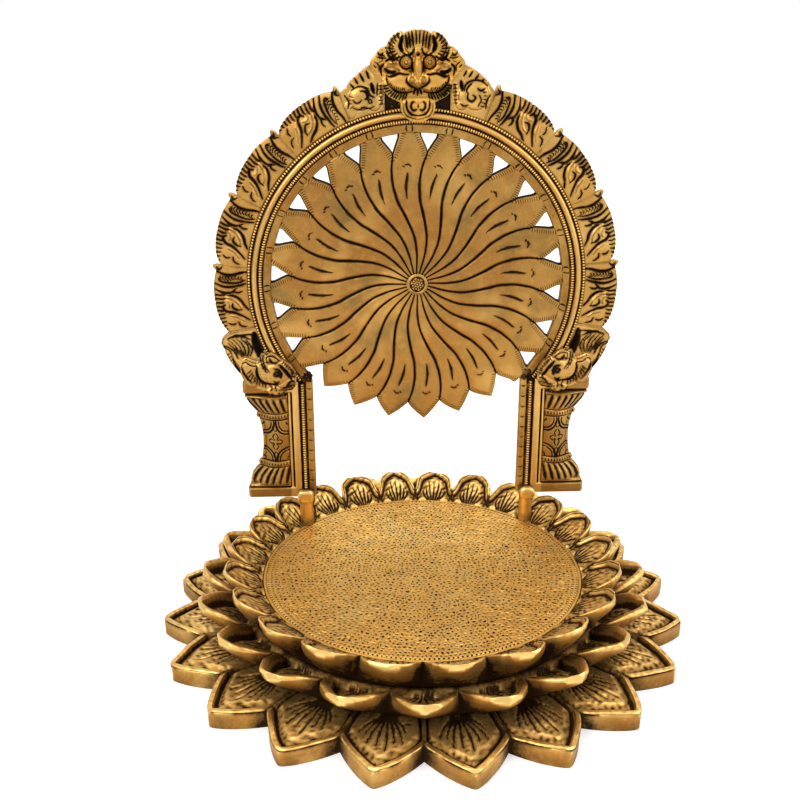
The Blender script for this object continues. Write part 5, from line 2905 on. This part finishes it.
@dataclass
class Makara:
    """The beaked creature at the ring's end: a ribbed tail beside the ring, and a head over it.

    Attributes:
        back: Where the tail's back lies.
        front_back: Where the head's back lies, in front of the ring.
        pitch: Spacing of its points.
        tail_stand: How far the tail stands off its back.
        tail_under: The same under the head.
        head_stand: How far the head's ground stands off its back.
        tail_edge: The tail's edge.
        head_edge: The edge of head, wing and curled foot.
    """

    back: float = BACK_PLANE
    front_back: float = 43.85
    pitch: float = 0.3
    tail_stand: float = 4.9
    tail_under: float = 6.9
    head_stand: float = 2.1
    tail_edge: tuple[Spot, ...] = (
        (62.0, 96.3), (79.5, 96.3), (80.6, 98.6), (82.6, 101.0), (84.6, 103.7), (86.4, 106.5),
        (88.0, 109.9), (88.8, 112.9), (90.0, 115.4), (89.4, 117.6), (87.2, 119.6), (84.2, 120.8),
        (80.3, 121.5), (76.6, 122.3), (73.0, 122.7), (71.8, 117.0), (70.0, 112.0), (66.9, 106.0),
        (64.0, 101.0),
    )
    head_edge: tuple[Spot, ...] = (
        (80.6, 107.3), (79.0, 108.3), (76.4, 106.9), (73.9, 106.2), (72.6, 108.9), (71.6, 111.3),
        (70.4, 111.3), (69.0, 110.6), (67.2, 111.8), (64.9, 111.0), (62.6, 108.5), (58.4, 106.1),
        (56.3, 102.4), (56.1, 99.0), (56.1, 96.2), (57.9, 93.6), (61.2, 92.8), (63.0, 90.8), (65.9, 90.4),
        (69.0, 90.9), (70.9, 92.6), (75.0, 94.3), (78.6, 95.8), (80.3, 99.0), (81.6, 101.4),
        (81.2, 104.6),
    )

    def tail_strokes(self) -> list[Stroke]:
        """The tail's carving.

        Returns:
            Its cuts and ridges.
        """
        return [
            cut(0.4, 1.4, (87.1, 117.3), (83.6, 118.5), (79.7, 118.2), (76.7, 117.0)),
            cut(0.35, 1.4, (89.6, 114.3), (86.1, 113.0), (83.6, 110.5), (82.6, 107.8)),
            cut(0.45, 1.6, (84.9, 108.3), (84.1, 105.1), (82.3, 102.0), (80.3, 98.6)),
            cut(2.1, 2.6, (74.6, 120.0), (74.2, 116.0), (72.9, 112.0), (71.2, 108.0), (68.4, 103.0)),
            cut(0.3, 1.0, (86.9, 115.3), (84.4, 113.2), (81.8, 110.1)),
            cut(0.3, 1.1, (86.7, 116.9), (84.2, 114.7), (81.9, 111.6), (80.5, 108.7)),
            cut(0.3, 1.1, (84.9, 117.4), (82.2, 114.7), (80.6, 111.6), (80.0, 109.0)),
            cut(0.3, 1.1, (82.9, 117.5), (80.3, 114.9), (79.2, 112.0), (79.4, 109.1)),
            cut(0.3, 1.1, (80.9, 117.4), (78.4, 114.9), (77.5, 112.3), (78.3, 109.0)),
            cut(0.3, 1.1, (79.0, 117.0), (76.6, 114.3), (76.0, 111.7), (77.2, 108.6)),
            rib(1.1, 0.8, (89.0, 113.7), (85.9, 111.6), (84.9, 107.8), (82.9, 103.7), (80.9, 100.4)),
            *rungs(((87.3, 110.6), (85.6, 107.0), (83.6, 103.8), (81.0, 100.4)), 8, 0.9, 0.26, 0.7, 0.4),
            cut(0.4, 1.2, (73.8, 119.4), (80.2, 119.1), (84.0, 119.0)),
        ]

    def tail_height(self, spots: Array, gap: Array) -> Array:
        """How far the tail's front stands off its back."""
        under = Relief.inside(spots, np.array(self.head_edge))
        round_part = crown(np.hypot(spots[:, 0] - 81.0, spots[:, 1] - 112.5), 6.5)
        return np.where(under, self.tail_under, self.tail_stand + 0.9 * round_part)

    def head_strokes(self) -> list[Stroke]:
        """The head's carving.

        Returns:
            Its cuts and ridges.
        """
        made = [
            cut(0.45, 1.4, (81.4, 106.6), (80.3, 103.7), (78.1, 99.8), (76.3, 97.5)),
            cut(0.55, 1.9, (73.7, 105.4), (73.8, 102.4), (72.5, 99.2), (69.2, 97.0), (65.1, 97.0),
                (63.8, 98.4)),
            cut(0.32, 1.3, (70.5, 110.8), (70.8, 108.2), (69.8, 105.1), (67.8, 102.6)),
            cut(0.26, 0.8, (71.7, 110.4), (71.8, 107.6), (70.8, 104.8), (69.0, 102.4)),
            cut(0.45, 1.9, (67.6, 109.5), (67.2, 108.1), (65.6, 106.9), (63.6, 107.8)),
            ring_cut(68.7, 107.5, 0.35, 0.26, 0.8),
            cut(0.4, 1.6, (66.2, 104.4), (64.0, 104.2), (62.6, 102.3), (63.2, 99.9)),
            cut(0.6, 2.0, (63.6, 106.3), (60.9, 103.7), (59.2, 101.0), (58.0, 98.8)),
            cut(0.36, 1.4, (56.7, 98.2), (59.3, 97.5), (60.3, 95.7), (62.6, 95.1)),
            cut(0.3, 1.2, (59.1, 95.2), (58.5, 96.2), (57.2, 96.6)),
            cut(0.36, 1.4, (64.3, 93.9), (61.3, 93.8), (58.1, 94.4), (56.7, 95.9)),
            cut(0.32, 1.1, (68.1, 95.8), (67.2, 94.5), (67.9, 93.2)),
            cut(0.32, 1.1, (65.2, 95.8), (65.9, 94.5), (65.1, 93.4)),
            cut(0.32, 1.2, (70.5, 93.3), (68.5, 91.8), (65.9, 91.2), (63.0, 91.6), (61.8, 92.9)),
            cut(0.25, 0.9, (67.8, 92.4), (66.6, 92.0)), cut(0.25, 0.9, (64.6, 92.5), (63.6, 92.3)),
            ring_cut(64.8, 101.9, 1.1, 0.34, 0.9), ring_cut(64.8, 101.9, 0.3, 0.22, 0.5),
            cut(0.3, 0.9, (66.2, 98.9), (65.3, 98.0), (64.0, 97.9)),
            rib(0.8, 0.7, (69.2, 108.4), (68.8, 110.3), (66.6, 110.6), (64.9, 109.8), (63.2, 108.2)),
            rib(0.55, 0.6, (80.4, 106.6), (79.0, 107.4), (76.4, 106.0), (73.9, 105.6)),
        ]
        made += rungs(((77.4, 103.6), (76.2, 100.6), (73.4, 97.6), (69.6, 95.6)), 8, 1.5, 0.3, 0.9, 0.5)
        made += rungs(((62.1, 107.5), (59.5, 105.3), (57.6, 102.8), (57.0, 99.6)), 8, 0.75, 0.26, 1.2)
        return made

    def breast(self) -> list[Stroke]:
        """The small balls on the breast.

        Returns:
            A short ridge for each ball.
        """
        places = [(73.0 - column * 1.05 - 0.5 * (row % 2), 104.9 - row * 1.45 - column * 0.1)
                  for row in range(5) for column in range(5)]
        return [rib(0.52, 0.65, (x, z), (x + 0.03, z)) for x, z in places
                if 67.2 < x < 72.8 - max(0.0, 100.4 - z) * 0.6]

    def head_height(self, spots: Array, gap: Array) -> Array:
        """How far the head's front stands off its back."""
        forms = (
            Swell(64.2, 101.6, 6.0, 6.0, 2.3), Swell(60.4, 96.6, 4.6, 3.0, 1.7),
            Swell(70.4, 101.8, 4.0, 5.4, 1.7), Swell(76.4, 101.2, 4.6, 6.4, 1.3),
            Swell(66.0, 92.6, 4.2, 2.4, 1.2), Swell(66.6, 109.0, 4.6, 3.6, 1.5),
            Swell(59.6, 103.6, 3.0, 4.6, 1.6),
        )
        return self.head_stand + np.max([form.at(spots) for form in forms], axis=0)

    def build(self, finish: bpy.types.Material) -> None:
        """Carves both makaras.

        Args:
            finish: The metal.
        """
        tail = Relief(np.array(self.tail_edge), self.tail_height, self.tail_strokes(), self.back,
                      self.pitch, rounding=0.6)
        strokes = self.head_strokes() + self.breast()
        head = Relief(np.array(self.head_edge), self.head_height, strokes, self.front_back,
                      self.pitch, rounding=0.8)
        for side, _, shape in hands(Shell.together([tail.shell(), head.shell()])):
            creature = shape.thing(f"beaked_makara_{side}")
            weather(creature, dirt=2.5, rub=2.4)
            settle(creature, Body.BACK, [f"makara_{side}"], finish)


@dataclass
class Rosette:
    """The punched button in the disc's middle.

    Attributes:
        middle: Height of its middle.
        back: Where its back lies.
        radius: Its radius.
        height: How far its rim stands off the disc.
    """

    middle: float = RING_MIDDLE
    back: float = 46.3
    radius: float = 4.75
    height: float = 1.75

    def stand(self, spots: Array, gap: Array) -> Array:
        """How far the front stands off the back."""
        far = np.hypot(spots[:, 0], spots[:, 1] - self.middle)
        return self.height * (0.72 + 0.28 * crown(far - self.radius + 0.75, 0.8))

    def build(self, finish: bpy.types.Material) -> None:
        """Punches the button.

        Args:
            finish: The metal.
        """
        circle = np.linspace(0.0, 2 * np.pi, 60, endpoint=False)
        edge = np.stack([self.radius * np.cos(circle), self.middle + self.radius * np.sin(circle)], 1)
        turns = np.arange(6) * math.pi / 3 + 0.3
        places = [(0.0, 0.0)] + [(2.1 * math.cos(a), 2.1 * math.sin(a)) for a in turns]
        strokes = [ring_cut(x, self.middle + z, 0.68, 0.26, 0.6) for x, z in places]
        strokes.append(ring_cut(0.0, self.middle, 3.25, 0.3, 0.6))
        carving = Relief(edge, self.stand, strokes, self.back, pitch=0.2, rounding=0.35)
        button = carving.shell().thing("rosette")
        weather(button, dirt=1.2, rub=1.2)
        settle(button, Body.BACK, ["disc_boss"], finish)


# ---------------------------------------------------------------- studio


@dataclass
class Studio:
    """The plain pale floor, the soft lamps and the camera.

    Attributes:
        place: The camera's place.
        pitch: How far it looks down, in radians.
        yaw: How far it looks to the right, in radians.
        roll: How far it is tilted, in radians.
        reach: Focal length in pixels of the picture.
        picture: The picture's width in pixels.
        sensor: The sensor's width.
        aim: The height at which the lamps aim, in metres.
        floor_half: Half the floor's side, in metres.
    """

    place: tuple[float, float, float] = (-22.28, -376.12, 237.10)
    pitch: float = 0.3427
    yaw: float = 0.0339
    roll: float = -0.0038
    reach: float = 950.0
    picture: float = 800.0
    sensor: float = 36.0
    aim: float = 0.11
    floor_half: float = 9.0

    def camera(self) -> None:
        """Sets the camera where the photograph was taken from."""
        data = bpy.data.cameras.new("camera")
        data.sensor_width = self.sensor
        data.lens = self.reach / self.picture * self.sensor
        data.clip_start, data.clip_end = 0.02, 60.0
        camera = added("camera", data)
        ahead = np.array([
            math.sin(self.yaw) * math.cos(self.pitch), math.cos(self.yaw) * math.cos(self.pitch),
            -math.sin(self.pitch),
        ])
        right = np.array([math.cos(self.yaw), -math.sin(self.yaw), 0.0])
        up = np.cross(right, ahead)
        tilted = math.cos(self.roll) * right + math.sin(self.roll) * up
        raised = -math.sin(self.roll) * right + math.cos(self.roll) * up
        turn = Matrix([tilted, raised, -ahead]).transposed().to_4x4()
        camera.matrix_world = Matrix.Translation([c * METRES for c in self.place]) @ turn
        bpy.context.scene.camera = camera

    def lamp(self, name: str, place: tuple[float, float, float], size: float, power: float) -> None:
        """Adds a soft square lamp that faces the throne.

        Args:
            name: Its name.
            place: Where it hangs, in metres.
            size: The length of its side.
            power: Its power in watts.
        """
        data = bpy.data.lights.new(name, "AREA")
        data.shape, data.size, data.energy = "SQUARE", size, power
        lamp = added(name, data)
        away = Vector(place) - Vector((0, 0, self.aim))
        lamp.matrix_world = Matrix.Translation(place) @ away.to_track_quat("Z", "Y").to_matrix().to_4x4()

    def world(self) -> None:
        """A white background that the metal sees too, and a softer light from it."""
        world = bpy.data.worlds.new("studio")
        graph = Graph.fresh(world)
        path = graph.node("ShaderNodeLightPath").outputs
        mirrored = Number(graph, path["Is Glossy Ray"])
        through = Number(graph, path["Is Transmission Ray"])
        seen = graph.math("MAXIMUM", Number(graph, path["Is Camera Ray"]),
                          graph.math("MAXIMUM", mirrored, through))
        aside, _, upwards = graph.parts(graph.node("ShaderNodeTexCoord").outputs["Generated"])
        dim = (1.0 - upwards.above(-0.1, 0.75)) * 0.62 + abs(aside).above(0.4, 0.95) * 0.18
        back = graph.node("ShaderNodeBackground", {}, {
            "Color": (1.0, 1.0, 1.0, 1.0), "Strength": seen * (1.0 - mirrored * dim) * 0.62 + 0.38})
        graph.node("ShaderNodeOutputWorld", {}, {"Surface": back.outputs[0]})
        bpy.context.scene.world = world

    def floor(self) -> None:
        """The floor, white to the camera but for the throne's soft shadow."""
        made = bpy.data.materials.new("pale_floor")
        graph = Graph.fresh(made)
        path = graph.node("ShaderNodeLightPath").outputs
        spot = graph.node("ShaderNodeTexCoord").outputs["Object"]
        length = graph.node("ShaderNodeVectorMath", {"operation": "LENGTH"}, {0: spot})
        far = Number(graph, length.outputs["Value"])
        seen = Number(graph, path["Is Camera Ray"]) * (far.above(0.25, 0.9) * 0.35 + 0.5)
        aside = (abs(graph.parts(spot)[0]) / (far + 0.01)).above(0.4, 0.98)
        mirrored = Number(graph, path["Is Glossy Ray"]) * (0.52 - far.above(0.25, 1.6) * 0.42)
        matt = graph.node("ShaderNodeBsdfDiffuse", {}, {"Color": (0.8, 0.8, 0.8, 1.0)})
        glow = graph.node("ShaderNodeEmission", {}, {
            "Color": (1.0, 1.0, 1.0, 1.0), "Strength": seen + mirrored * (1.0 - aside * 0.45)})
        both = graph.node("ShaderNodeAddShader", {}, {0: matt.outputs[0], 1: glow.outputs[0]})
        graph.node("ShaderNodeOutputMaterial", {}, {"Surface": both.outputs[0]})
        mesh = bpy.data.meshes.new("floor")
        far_off = self.floor_half
        corners = [(x * far_off, y * far_off, 0) for x, y in ((-1, -1), (1, -1), (1, 1), (-1, 1))]
        mesh.from_pydata(corners, [], [(0, 1, 2, 3)])
        mesh.materials.append(made)
        added("floor", mesh)

    def build(self) -> None:
        """Sets up the whole studio."""
        self.camera()
        self.world()
        self.floor()
        self.lamp("window", (-0.75, -0.7, 0.95), 0.7, 9.0)
        self.lamp("fill", (0.95, -0.5, 0.6), 0.8, 5.0)
        self.lamp("top", (0.1, 0.35, 1.1), 0.7, 4.0)
        bpy.context.scene.view_settings.view_transform = "Standard"


# ---------------------------------------------------------------- the throne


def main() -> None:
    """Builds the throne and its studio."""
    logging.basicConfig(level=logging.INFO, format="%(name)s: %(message)s")
    Studio().build()
    worn = AgedBrass("brass_rubbed", bright=(0.98, 0.68, 0.25), body=(0.74, 0.4, 0.09),
                     warm=(0.56, 0.25, 0.042), polish=0.22).material()
    warm = AgedBrass("brass_aged").material()
    cast = AgedBrass("brass_cast", deep=(0.04, 0.018, 0.006), grain=1.3, relief=0.07).material()
    petal = AgedBrass("brass_petal", body=(0.66, 0.345, 0.066), warm=(0.5, 0.21, 0.032),
                      deep=(0.035, 0.015, 0.005), grain=1.3, relief=0.06).material()
    pale = AgedBrass("brass_leaf", body=(0.6, 0.31, 0.062), warm=(0.46, 0.19, 0.03)).material()
    dark = AgedBrass("brass_pillar", bright=(0.8, 0.5, 0.15), body=(0.42, 0.2, 0.036)).material()
    sat = AgedBrass("brass_seat", bright=(0.99, 0.66, 0.2), body=(0.88, 0.46, 0.085),
                    warm=(0.72, 0.32, 0.045),
                    tarnish=(0.57, 0.31, 0.065)).material()
    plain = AgedBrass("brass_dull", body=(0.4, 0.25, 0.09), polish=0.42, grain=0.6,
                      relief=0.06).material()
    engraved = HatchedBrass("brass_engraved", bright=(0.8, 0.46, 0.12), body=(0.42, 0.2, 0.042),
                            warm=(0.3, 0.1, 0.014), tarnish=(0.12, 0.085, 0.028), stain=6.5,
                            clouds=0.85, glints=0.6).material()
    LotusBase().build(petal, cast, sat)
    SunDisc().build(engraved)
    beads = bead_pattern()
    ArchRing().build(warm, beads)
    Jamb().build(warm, beads)
    Pillar().build(dark)
    Peg().build(worn)
    LeafLobe().build(pale)
    CrestMask().build(sat)
    Pendant().build(sat)
    for scroll in scroll_heads():
        scroll.build(worn)
    Makara().build(worn)
    Rosette().build(worn)
    for name in ("tie_stud", "tie_washer", "tie_nut"):
        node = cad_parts[name]
        for slot in node.material_slots:
            slot.link = "OBJECT"
            slot.material = plain


if __name__ == "__main__":
    main()
